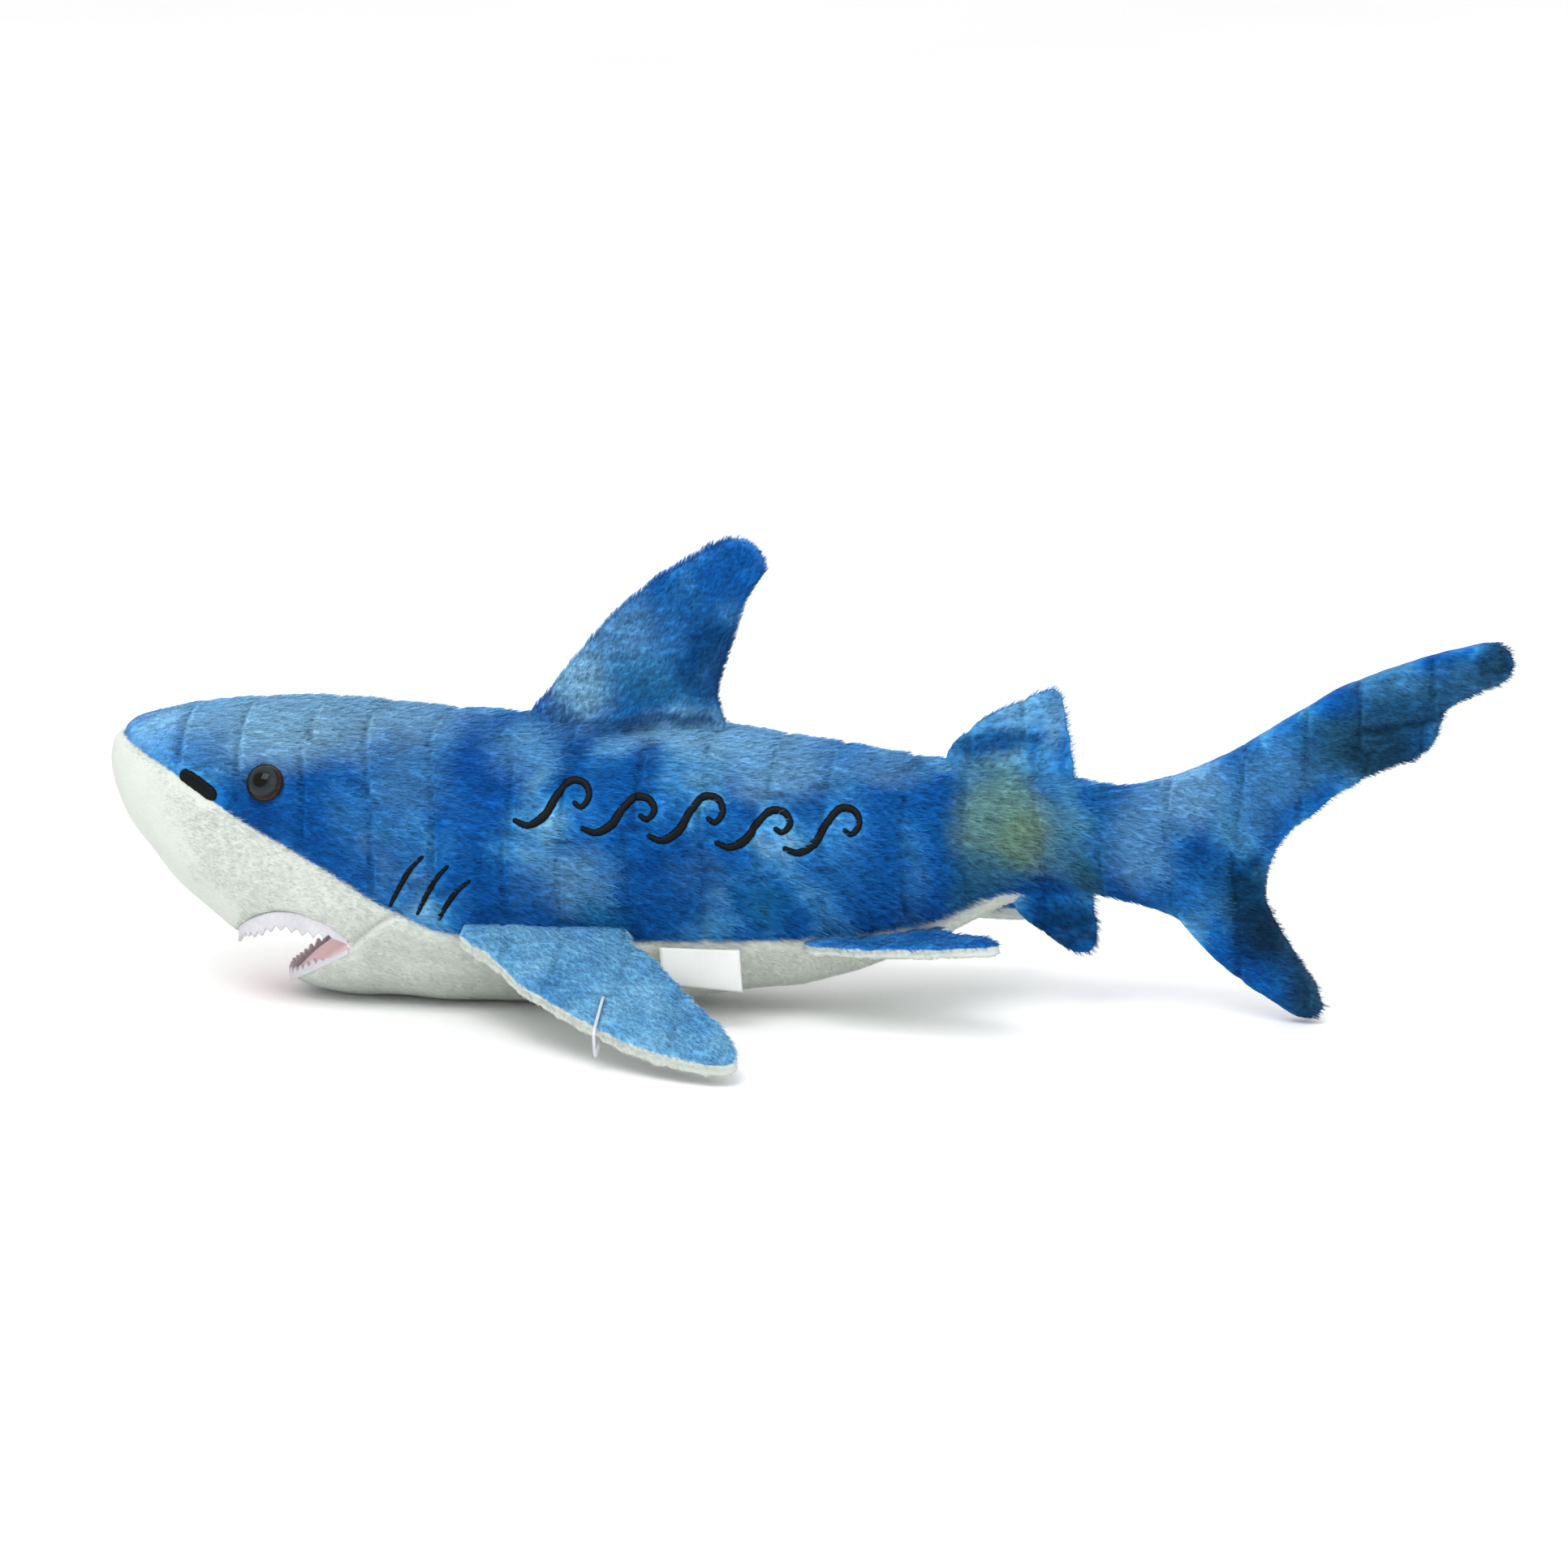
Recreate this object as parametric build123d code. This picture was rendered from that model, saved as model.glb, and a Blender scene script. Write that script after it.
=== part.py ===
from build123d import *

import math
import os

# A plush shark that lies on its belly, nose at -X, tail at +X, left side at -Y, in millimetres.
# The origin is on the surface that it lies on, under the middle of its length.
# Each panel is a thin shell of plush, and each stuffed part holds its own core of fibre.

# ---- Driving dimensions ----
LENGTH = 443.0  # nose to tip of the tail
SKIN = 2.0  # plush fabric with its flattened pile
LINING = 1.5  # felt inside the mouth
THREAD = 0.8  # height of satin stitching above the fabric
GAP = 0.4  # running clearance between two bodies

NOSE_X, TAIL_X = -LENGTH / 2, LENGTH / 2

# Body sections: (x, top z, bottom z, half width)
BODY_SECTIONS = [
    (NOSE_X, 79.5, 68.5, 6.0),
    (-217.0, 85.0, 59.0, 15.0),
    (-210.5, 88.5, 49.5, 22.0),
    (-200.0, 91.3, 36.0, 28.5),
    (-185.0, 93.8, 22.0, 33.5),
    (-168.0, 95.0, 4.0, 37.0),
    (-152.0, 95.2, -1.2, 39.5),
    (-125.0, 93.0, -1.5, 41.0),
    (-90.0, 91.8, -1.5, 41.5),
    (-55.0, 91.2, -0.5, 40.5),
    (-22.0, 89.6, 4.5, 37.5),
    (10.0, 84.8, 10.5, 32.5),
    (40.0, 81.6, 22.0, 25.5),
    (62.0, 79.2, 34.0, 20.0),
    (80.0, 77.0, 38.0, 16.8),
    (100.0, 75.0, 35.8, 15.0),
    (113.0, 77.0, 30.0, 13.5),
    (132.0, 86.0, 17.0, 11.0),
]

# Seam between the blue side panels and the white underside: (x, z)
BELLY_SEAM = [
    (-230.0, 85.5),
    (-219.0, 82.5),
    (-196.0, 73.8),
    (-175.0, 61.6),
    (-149.0, 48.0),
    (-128.0, 35.3),
    (-113.0, 28.5),
    (-90.0, 26.3),
    (-46.0, 26.3),
    (5.0, 27.0),
    (43.0, 30.6),
    (66.0, 37.5),
]

# Mouth
JAW_HINGE = (-139.0, 22.0)  # x, z of the corners of the mouth
UPPER_LIP = [JAW_HINGE, (-147.0, 28.5), (-158.0, 31.5), (-168.0, 30.0), (-176.0, 25.0), (-184.0, 16.0)]
JAW_TIP = (-165.5, 2.0)
LOWER_LIP_TIP = (-163.0, 7.5)
JAW_PLAN = (26.5, 39.0)  # half axes of the jaw seen from above, about the line of its hinge
JAW_RELIEF = 3.4  # how far the foot of the jaw's rear face leans forward, so that the jaw can open further
JAW_FRONT = [(-174.0, 9.0), (-152.0, 22.0)]  # corners of the space that holds the jaw, above its tip
MOUTH_FRONT_X = -190.0
SNOUT_REAR = [JAW_HINGE, (-122.0, 34.5), (-116.0, 50.0)]  # rear edge of the snout panel, x and z

# Teeth: felt strips bent to half ellipses
TOOTH_PITCH, TOOTH_NOTCH, TEETH_THICK = 5.5, 2.6, 1.0
UPPER_STRIP_AT, UPPER_STRIP_HEIGHT = (-141.0, 34.0), 10.5
UPPER_STRIP_AXES, UPPER_STRIP_REACH = (33.0, 30.0), 78.0  # half axes, and degrees to each side
LOWER_STRIP_BACK, LOWER_STRIP_SINK, LOWER_STRIP_HEIGHT = 2.0, 1.2, 4.5  # its centre from the jaw hinge
LOWER_STRIP_AXES, LOWER_STRIP_REACH = (26.5, 31.0), 72.0

# Eyes: a domed plastic eye on a shank, held by a washer inside
EYE_AT = (-167.0, 32.6, 73.5)  # x, half spacing, z
EYE_FACING = (-0.16, 0.89, 0.43)
EYE_RADIUS, EYE_DOME_HEIGHT = 6.0, 4.0
EYE_BACK = 1.2
SHANK_RADIUS, SHANK_LENGTH = 2.2, 12.0
WASHER_RADIUS, WASHER_THICK, WASHER_DEPTH = 6.5, 1.5, 3.4

# Tail joint and caudal fin
TAIL_HINGE_X, TAIL_HINGE_Z, TAIL_HINGE_RADIUS = 100.0, 55.0, 15.5
FORK_TOP, FORK_BOTTOM = 49.0, 45.0  # heights between which the fork belongs to the root of the tail
CAUDAL_HALF = 6.0  # half thickness of the caudal fin
UPPER_LOBE_HINGE, UPPER_LOBE_ANGLE = (158.0, 83.0), 30.0
LOWER_LOBE_HINGE, LOWER_LOBE_ANGLE = (145.0, 25.0), -58.0
CAUDAL_TOP = [
    (122.0, 77.0),
    (139.9, 92.0),
    (160.5, 105.2),
    (181.2, 114.4),
    (201.8, 121.5),
    (212.1, 123.6),
]
CAUDAL_TIP = [(212.1, 123.6), (TAIL_X, 114.5), (212.1, 106.4)]
CAUDAL_REAR = [(212.1, 106.4), (199.8, 98.0), (195.4, 87.4), (181.2, 80.7), (160.5, 66.5), (146.4, 49.0)]
CAUDAL_LOWER_REAR = [(146.4, 49.0), (150.2, 32.0), (160.5, 11.7), (164.0, 4.5)]
CAUDAL_FOOT = [(164.0, 4.5), (159.0, 0.2), (150.0, 2.6)]
CAUDAL_BOTTOM = [(150.0, 2.6), (129.6, 16.3), (115.0, 29.0)]

# Upright fins: outline (x, z) and half thickness
DORSAL_HALF = 6.5
DORSAL_AXIS_Z = 99.0
DORSAL_FRONT = [(-83.5, DORSAL_AXIS_Z), (-76.7, 108.0), (-56.0, 129.5), (-35.5, 144.0)]
DORSAL_TIP = [(-35.5, 144.0), (-22.0, 149.0), (-13.5, 140.5)]
DORSAL_REAR = [(-13.5, 140.5), (-21.3, 122.9), (-27.0, 103.2), (-27.6, DORSAL_AXIS_Z)]

FLAT_FIN_HALF = 2.0
SECOND_AXIS = ((44.0, 84.2), (83.0, 79.6))  # ends of the hinge line, x and z
SECOND_OUTLINE = [(60.0, 98.0), (72.9, 104.8), (78.2, 105.0), (81.5, 94.6)]
ANAL_AXIS = ((64.0, 31.4), (90.0, 34.0))
ANAL_OUTLINE = [(75.4, 25.5), (84.0, 21.8), (90.6, 22.6), (92.6, 28.3)]

# Paired fins: outline in the plane of the fin (x, distance out from the hinge line)
PECTORAL_HINGE = (43.1, 27.2)  # y, z
PECTORAL_DROOP, PECTORAL_HALF = 20.0, 4.0
PECTORAL_ROOT = (-105.0, -52.0)
PECTORAL_FRONT = [(-105.0, 0.0), (-95.4, 10.1), (-83.0, 27.1), (-65.5, 42.1), (-48.4, 55.8), (-24.0, 67.0)]
PECTORAL_TIP = [(-24.0, 67.0), (-11.0, 67.5), (-9.0, 60.0)]
PECTORAL_REAR = [(-9.0, 60.0), (-25.0, 35.6), (-38.0, 14.9), (-52.0, 0.0)]

PELVIC_FRONT, PELVIC_BACK = (4.0, 33.0, 25.5), (46.0, 19.0, 28.0)  # hinge line: x, y, z
PELVIC_DROOP, PELVIC_HALF = {"left": -4.5, "right": 14.0}, 3.0  # the left fin lies a little higher
PELVIC_LENGTH = 44.6  # along the hinge line
PELVIC_FRONT_EDGE = [(0.0, 0.0), (16.0, 16.0), (40.0, 31.0), (52.0, 34.0), (56.0, 28.0)]
PELVIC_OUTLINE = PELVIC_FRONT_EDGE + [(50.0, 12.0), (PELVIC_LENGTH, 0.0)]

# Small pieces
LABEL_X, LABEL_Y, LABEL_TOP = -27.5, 35.9, 25.5
LABEL_WIDTH, LABEL_DROP, LABEL_THICK = 25.0, 16.0, 0.8
TAG_X, TAG_HOLE, TAG_EDGE = -53.0, 33.4, 54.2  # in the plane of the left pectoral fin
TAG_RADIUS = 0.5

NOSTRIL_AT, NOSTRIL_SIZE, NOSTRIL_TILT = (-190.2, 71.5), (12.0, 4.6), -25.0
GILL_BARS = [  # ends of each bar: x, z
    ((-115.6, 52.4), (-126.3, 36.5)),
    ((-107.4, 50.1), (-117.8, 34.3)),
    ((-101.0, 45.6), (-111.0, 32.6)),
]
GILL_WIDTH = 2.0
WAVE_START, WAVE_PITCH, WAVE_COUNT = (-83.0, 62.5), 21.0, 5
WAVE_SLOPE, WAVE_STROKE, WAVE_RISE = -5.0, 2.4, 15.0
WAVE_CLIMB = [(0.0, 0.0), (5.5, 0.45), (8.5, 1.0), (14.0, 0.95)]  # distance along, share of the rise
WAVE_CURL = [(14.0, 0.95), (16.8, 0.62), (14.0, 0.4)]

BEAD_STEP = 0.3  # how much thinner than its fin the round edge at a hinge line is
FAR = 300.0  # larger than the toy, for cutting
UNDER, AHEAD, ABOVE_NOSE = -10.0, -232.0, 95.0  # places below, in front of and above the nose, for cutting


# ---- Helpers ----
def face_xz(*edges):
    """A face in the XZ plane from edges given in x and z."""
    return Plane.XZ * make_face(Curve() + list(edges))


def inset(face, distance, step=4.0):
    """A face inset by a distance (or grown by a negative one), its outline taken in short straight runs."""
    wire = face.face().outer_wire()
    count = round(wire.length / step)
    corners = [wire @ (index / count) for index in range(count)]
    return offset(make_face(Polyline(*corners, close=True)), -distance)


def prism(face, half_width):
    """A face in the XZ plane, thickened along Y to both sides."""
    return extrude(face, half_width, dir=(0, 1, 0), both=True)


def half_space(side):
    """The half of space on one side of the middle plane: -1 is the left of the toy."""
    return Pos(0, side * FAR / 2, 0) * Box(2 * FAR, FAR, 2 * FAR)


def body_loft(grow):
    """The closed shape of head, body and root of the tail, with every section grown by a distance."""
    sections = []
    for index, (x, top, bottom, half_width) in enumerate(BODY_SECTIONS):
        at_nose = index == 0 and grow < 0
        plane = Plane(
            origin=(x - grow if at_nose else x, 0, (top + bottom) / 2),
            x_dir=(0, 1, 0),
            z_dir=(1, 0, 0),
        )
        sections.append(plane * Ellipse(half_width + grow, (top - bottom) / 2 + grow))
    return loft(sections)


def shells(outer, inner, upper_name, lower_name, core_name, split):
    """The two panels and the core of a stuffed fin whose panels meet on the split solid's face."""
    skin = outer - inner
    return {upper_name: skin & split, lower_name: skin - split, core_name: inner}


def upright_fin(outline, axis_front, axis_back, half):
    """An upright fin above its hinge line, rounded about that line, as one solid."""
    run = Vector(axis_back[0] - axis_front[0], 0, axis_back[1] - axis_front[1])
    hinge = Plane(origin=(axis_front[0], 0, axis_front[1]), z_dir=run.normalized())
    bead = hinge * Cylinder(half - BEAD_STEP, run.length, align=(Align.CENTER, Align.CENTER, Align.MIN))
    return prism(outline, half) + bead


def mirrored(shapes, side):
    """Shapes modelled for the left side, or their mirror images for the right."""
    if side < 0:
        return shapes
    return {name: mirror(shape, about=Plane.XZ) for name, shape in shapes.items()}


# ---- Head and torso ----
floor_cut = Pos(0, 0, -FAR / 2) * Box(2 * FAR, 2 * FAR, FAR)
body_outer = body_loft(0) - floor_cut
body_inner = body_loft(-SKIN) - Pos(0, 0, SKIN) * floor_cut
body_stitch_height = body_loft(THREAD) - body_loft(0)

mouth_outline = make_face(
    Curve()
    + [
        Spline(*UPPER_LIP),
        Polyline(UPPER_LIP[-1], (MOUTH_FRONT_X, UNDER), (JAW_TIP[0], UNDER), JAW_TIP),
        Polyline(JAW_TIP, LOWER_LIP_TIP, JAW_HINGE),
    ]
)
mouth_profile = Plane.XZ * mouth_outline
lining_profile = Plane.XZ * inset(mouth_outline, -LINING)
mouth_void = prism(mouth_profile, FAR)
mouth_lined = prism(lining_profile, FAR)
jaw_under_front = (JAW_FRONT[0][0], UNDER)
jaw_rear_top = (JAW_HINGE[0] - GAP, JAW_HINGE[1])
jaw_rear_foot = (jaw_rear_top[0] - JAW_RELIEF, UNDER)
jaw_zone = prism(
    face_xz(Polyline(jaw_rear_top, jaw_rear_foot, jaw_under_front, *JAW_FRONT, jaw_rear_top)),
    FAR,
)
jaw_clearance = prism(
    face_xz(Polyline(JAW_HINGE, (JAW_HINGE[0], UNDER), jaw_under_front, *JAW_FRONT, JAW_HINGE)),
    FAR,
)

tail_pivot = Pos(TAIL_HINGE_X, 0, TAIL_HINGE_Z) * Cylinder(TAIL_HINGE_RADIUS, FAR)
tail_pivot_seat = Pos(TAIL_HINGE_X, 0, TAIL_HINGE_Z) * Cylinder(TAIL_HINGE_RADIUS + GAP, FAR)
front_of_tail = Pos(TAIL_HINGE_X - GAP - FAR, 0, 0) * Box(2 * FAR, 2 * FAR, 2 * FAR) - tail_pivot_seat

below_seam = prism(
    face_xz(
        Spline(*BELLY_SEAM),
        Polyline(BELLY_SEAM[-1], (BELLY_SEAM[-1][0], UNDER), (BELLY_SEAM[0][0], UNDER), BELLY_SEAM[0]),
    ),
    FAR,
)
snout_zone = prism(
    face_xz(Polyline((AHEAD, UNDER), *SNOUT_REAR, (AHEAD, ABOVE_NOSE), (AHEAD, UNDER))),
    FAR,
)

torso_outer = (body_outer & front_of_tail) - mouth_void - jaw_clearance
torso_inner = (body_inner & front_of_tail) - mouth_lined - jaw_clearance
skin = torso_outer - body_inner
white_skin = skin & below_seam
blue_skin = skin - below_seam

parts = {
    "left_side_panel": blue_skin & half_space(-1),
    "right_side_panel": blue_skin & half_space(1),
    "snout_panel": white_skin & snout_zone,
    "belly_panel": white_skin - snout_zone,
    "mouth_roof_lining": (body_inner & mouth_lined) - mouth_void - jaw_clearance,
    "body_stuffing": torso_inner,
}

# ---- Lower jaw ----
def jaw_column(skin):
    """The upright column that the jaw fills, seen from above as an ellipse, less the thickness of a skin."""
    plan = Ellipse(JAW_PLAN[0] - skin, JAW_PLAN[1] - skin)
    return Pos(JAW_HINGE[0], 0, 0) * extrude(plan, FAR, both=True)


jaw_inner = body_inner & jaw_zone & jaw_column(SKIN)
parts["jaw_panel"] = (body_outer & jaw_zone & jaw_column(0)) - mouth_void - jaw_inner
parts["jaw_lining"] = (jaw_inner & mouth_lined) - mouth_void
parts["jaw_stuffing"] = jaw_inner - mouth_lined


# ---- Teeth: strips of felt with pointed edges, bent round the mouth ----
def tooth_strip(radius_x, radius_y, height, reach_deg):
    """A felt strip bent to half an ellipse that opens to +X, its teeth pointing to +Z."""
    outer = Ellipse(radius_x, radius_y)
    inner = Ellipse(radius_x - TEETH_THICK, radius_y - TEETH_THICK)
    strip = extrude(outer - inner, height)
    back = math.cos(math.radians(reach_deg)) * radius_x
    strip -= Pos(FAR / 2 - back, 0, 0) * Box(FAR, FAR, FAR)
    steps = round(math.radians(2 * reach_deg) * (radius_x + radius_y) / 2 / TOOTH_PITCH)
    rim = height + 0.1
    notch = Polyline((-TOOTH_PITCH / 2, rim), (0, height - TOOTH_NOTCH), (TOOTH_PITCH / 2, rim), close=True)
    for step in range(steps + 1):
        angle = math.radians(180 - reach_deg + 2 * reach_deg * step / steps)
        foot = Vector(radius_x * math.cos(angle), radius_y * math.sin(angle), 0)
        outward = Vector(math.cos(angle) / radius_x, math.sin(angle) / radius_y, 0).normalized()
        cut = Plane(origin=foot, x_dir=Vector(0, 0, 1).cross(outward), z_dir=outward) * make_face(notch)
        strip -= extrude(cut, 3, both=True)
    return strip


upper_strip_plane = Plane(origin=(UPPER_STRIP_AT[0], 0, UPPER_STRIP_AT[1]), x_dir=(1, 0, 0), z_dir=(0, 0, -1))
upper_strip = upper_strip_plane * tooth_strip(*UPPER_STRIP_AXES, UPPER_STRIP_HEIGHT, UPPER_STRIP_REACH)
parts["upper_teeth"] = upper_strip & mouth_void

lip_fall = math.atan2(JAW_HINGE[1] - LOWER_LIP_TIP[1], JAW_HINGE[0] - LOWER_LIP_TIP[0])
lower_strip_plane = Plane(
    origin=(JAW_HINGE[0] - LOWER_STRIP_BACK, 0, JAW_HINGE[1] - LOWER_STRIP_SINK),
    x_dir=(math.cos(lip_fall), 0, math.sin(lip_fall)),
    z_dir=(-math.sin(lip_fall), 0, math.cos(lip_fall)),
)
lower_strip = lower_strip_plane * tooth_strip(*LOWER_STRIP_AXES, LOWER_STRIP_HEIGHT, LOWER_STRIP_REACH)
parts["lower_teeth"] = lower_strip & mouth_void


# ---- Eyes ----
def eye(side):
    """Dome, shank with its back plate, and washer, in their place on one side of the head."""
    facing = Vector(EYE_FACING[0], side * EYE_FACING[1], EYE_FACING[2]).normalized()
    seat = Plane(origin=(EYE_AT[0], side * EYE_AT[1], EYE_AT[2]), z_dir=facing)
    ball = (EYE_RADIUS**2 + EYE_DOME_HEIGHT**2) / (2 * EYE_DOME_HEIGHT)
    dome = Pos(0, 0, EYE_DOME_HEIGHT - ball) * Sphere(ball)
    dome &= Pos(0, 0, FAR / 2) * Box(FAR, FAR, FAR)
    down = (Align.CENTER, Align.CENTER, Align.MAX)
    plate = Cylinder(EYE_RADIUS, EYE_BACK, align=down)
    shank = Pos(0, 0, -EYE_BACK) * Cylinder(SHANK_RADIUS, SHANK_LENGTH, align=down)
    washer = Pos(0, 0, -WASHER_DEPTH) * Cylinder(WASHER_RADIUS, WASHER_THICK, align=down)
    washer -= Cylinder(SHANK_RADIUS + 0.05, 2 * FAR)
    return {"dome": seat * dome, "shank": seat * (plate + shank), "washer": seat * washer}


for side, word in ((-1, "left"), (1, "right")):
    pieces = eye(side)
    for kind, shape in pieces.items():
        parts[f"{word}_eye_{kind}"] = shape
        parts["body_stuffing"] -= shape
        parts[f"{word}_side_panel"] -= shape


# ---- Stitching on the face and side ----
def stitched(face, side):
    """A patch of satin stitching: a face in the XZ plane raised on one side of the body."""
    return prism(face, FAR) & body_stitch_height & half_space(side)


def bar(start, end, width):
    """A straight stroke with round ends in the XZ plane."""
    run = Vector(*end) - Vector(*start)
    middle = (Vector(*start) + Vector(*end)) / 2
    slot = SlotOverall(run.length + width, width, rotation=math.degrees(math.atan2(run.Y, run.X)))
    return Plane.XZ * (Pos(middle.X, middle.Y) * slot)


def wave_stroke(index):
    """One rolling wave of the border on the side, as a stroke that climbs, curls over and drops."""
    lean = math.radians(WAVE_SLOPE)

    def place(along, rise):
        along += index * WAVE_PITCH
        x = WAVE_START[0] + along * math.cos(lean) - rise * math.sin(lean)
        return (x, WAVE_START[1] + along * math.sin(lean) + rise * math.cos(lean))

    climb = Spline(*[place(along, share * WAVE_RISE) for along, share in WAVE_CLIMB])
    curl = Spline(*[place(along, share * WAVE_RISE) for along, share in WAVE_CURL])
    return Plane.XZ * trace(climb + curl, line_width=WAVE_STROKE)


nostril = Plane.XZ * (Pos(*NOSTRIL_AT) * Rot(0, 0, NOSTRIL_TILT) * SlotOverall(*NOSTRIL_SIZE))
for side, word in ((-1, "left"), (1, "right")):
    parts[f"{word}_nostril_stitching"] = stitched(nostril, side)
    bars = [stitched(bar(top, foot, GILL_WIDTH), side) for top, foot in GILL_BARS]
    parts[f"{word}_gill_stitching"] = Compound(children=[solid for one in bars for solid in one.solids()])
waves = [stitched(wave_stroke(index), -1) for index in range(WAVE_COUNT)]
parts["wave_stitching"] = Compound(children=[solid for one in waves for solid in one.solids()])


# ---- Tail: root of the tail, upper lobe and lower lobe ----
def caudal_slab(skin):
    """The flat caudal fin, inset all round by a distance."""
    edges = [Spline(*CAUDAL_TOP), ThreePointArc(*CAUDAL_TIP)]
    edges += [Spline(*run) for run in (CAUDAL_REAR, CAUDAL_LOWER_REAR, CAUDAL_FOOT, CAUDAL_BOTTOM)]
    edges.append(Line(CAUDAL_BOTTOM[-1], CAUDAL_TOP[0]))
    outline = make_face(Curve() + edges)
    if skin:
        outline = inset(outline, skin)
    return prism(Plane.XZ * outline, CAUDAL_HALF - skin)


def lobe_cut(hinge, angle, radius):
    """The space beyond a lobe's hinge line, and the round bead along that line."""
    along = Vector(math.cos(math.radians(angle)), 0, math.sin(math.radians(angle)))
    seat = Plane(origin=(hinge[0], 0, hinge[1]), x_dir=(0, 1, 0), z_dir=along)
    beyond = seat * Box(FAR, FAR, FAR, align=(Align.CENTER, Align.CENTER, Align.MIN))
    bead = seat * (Rot(90, 0, 0) * Cylinder(radius, FAR))
    return beyond, bead


body_end = Pos(BODY_SECTIONS[-1][0] - SKIN - FAR, 0, 0) * Box(2 * FAR, FAR, FAR)
behind_pivot = Pos(TAIL_HINGE_X + FAR, 0, 0) * Box(2 * FAR, 2 * FAR, 2 * FAR) + tail_pivot
tail_outer = (body_outer & behind_pivot) + caudal_slab(0)
tail_inner = (body_inner & behind_pivot & body_end) + caudal_slab(SKIN)

upper_beyond, upper_bead = lobe_cut(UPPER_LOBE_HINGE, UPPER_LOBE_ANGLE, CAUDAL_HALF)
lower_beyond, lower_bead = lobe_cut(LOWER_LOBE_HINGE, LOWER_LOBE_ANGLE, CAUDAL_HALF)
upper_seat = lobe_cut(UPPER_LOBE_HINGE, UPPER_LOBE_ANGLE, CAUDAL_HALF + GAP)[1]
lower_seat = lobe_cut(LOWER_LOBE_HINGE, LOWER_LOBE_ANGLE, CAUDAL_HALF + GAP)[1]
above_fork = Pos(0, 0, FORK_TOP + FAR / 2) * Box(2 * FAR, FAR, FAR)
below_fork = Pos(0, 0, FORK_BOTTOM - FAR / 2) * Box(2 * FAR, FAR, FAR)
upper_zone = (upper_beyond + upper_bead) & above_fork
lower_zone = (lower_beyond + lower_bead) & below_fork
upper_room = (upper_beyond + upper_seat) & above_fork
lower_room = (lower_beyond + lower_seat) & below_fork

tail_splits = {
    "tail": lambda shape: shape - upper_room - lower_room,
    "upper_lobe": lambda shape: shape & upper_zone,
    "lower_lobe": lambda shape: shape & lower_zone,
}
for name, take in tail_splits.items():
    core = take(tail_inner)
    outside = take(tail_outer) - tail_inner
    parts[f"{name}_left_panel"] = outside & half_space(-1)
    parts[f"{name}_right_panel"] = outside & half_space(1)
    parts[f"{name}_stuffing"] = core


# ---- Upright fins ----
def dorsal(skin):
    edges = [Spline(*DORSAL_FRONT), ThreePointArc(*DORSAL_TIP), Spline(*DORSAL_REAR)]
    edges.append(Line(DORSAL_REAR[-1], DORSAL_FRONT[0]))
    outline = make_face(Curve() + edges)
    if skin:
        return prism(Plane.XZ * inset(outline, skin), DORSAL_HALF - skin)
    return upright_fin(Plane.XZ * outline, DORSAL_FRONT[0], DORSAL_REAR[-1], DORSAL_HALF)


dorsal_shells = shells(
    dorsal(0),
    dorsal(SKIN),
    "dorsal_fin_left_panel",
    "dorsal_fin_right_panel",
    "dorsal_fin_stuffing",
    half_space(-1),
)
parts.update(dorsal_shells)

flat_fins = (("second_dorsal", SECOND_AXIS, SECOND_OUTLINE), ("anal_fin", ANAL_AXIS, ANAL_OUTLINE))
for name, axis, outline in flat_fins:
    face = face_xz(Spline(axis[0], *outline, axis[1]), Line(axis[1], axis[0]))
    fin = upright_fin(face, axis[0], axis[1], FLAT_FIN_HALF)
    parts[f"{name}_left_panel"] = fin & half_space(-1)
    parts[f"{name}_right_panel"] = fin & half_space(1)


# ---- Paired fins ----
def flat_fin(edges, root_length, half, skin):
    """A stuffed fin in its own plane, or its core: hinge line along X from the origin, the fin at -Y."""
    outline = make_face(Curve() + edges)
    if skin:
        return extrude(inset(outline, skin), half - skin, both=True)
    bead = Cylinder(half - BEAD_STEP, root_length - 2, rotation=(0, 90, 0))
    return extrude(outline, half, both=True) + Pos(root_length / 2, 0, 0) * bead


def paired_fin(name, edges, hinge_planes, root_length, half):
    """Panels and core of a left fin and a right one, each from its hinge plane on the left of the toy."""
    outer = flat_fin(edges, root_length, half, 0)
    inner = flat_fin(edges, root_length, half, SKIN)
    above = Pos(0, 0, FAR / 2) * Box(2 * FAR, 2 * FAR, FAR)
    flat = shells(outer, inner, "top_panel", "bottom_panel", "stuffing", above)
    for side, word in ((-1, "left"), (1, "right")):
        placed = mirrored({kind: hinge_planes[word] * shape for kind, shape in flat.items()}, side)
        for kind, shape in placed.items():
            parts[f"{word}_{name}_{kind}"] = shape


def outward(points, start):
    """Outline points of a left fin in its own plane, where the fin lies at -Y."""
    return [(x - start, -out) for x, out in points]


droop = math.radians(PECTORAL_DROOP)
pectoral_plane = Plane(
    origin=(PECTORAL_ROOT[0], -PECTORAL_HINGE[0], PECTORAL_HINGE[1]),
    x_dir=(1, 0, 0),
    z_dir=(0, -math.sin(droop), math.cos(droop)),
)
pectoral_length = PECTORAL_ROOT[1] - PECTORAL_ROOT[0]
pectoral_edges = [
    Spline(*outward(PECTORAL_FRONT, PECTORAL_ROOT[0])),
    Spline(*outward(PECTORAL_TIP, PECTORAL_ROOT[0])),
    Spline(*outward(PECTORAL_REAR, PECTORAL_ROOT[0])),
    Line((pectoral_length, 0), (0, 0)),
]
pectoral_planes = {"left": pectoral_plane, "right": pectoral_plane}
paired_fin("pectoral", pectoral_edges, pectoral_planes, pectoral_length, PECTORAL_HALF)

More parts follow.
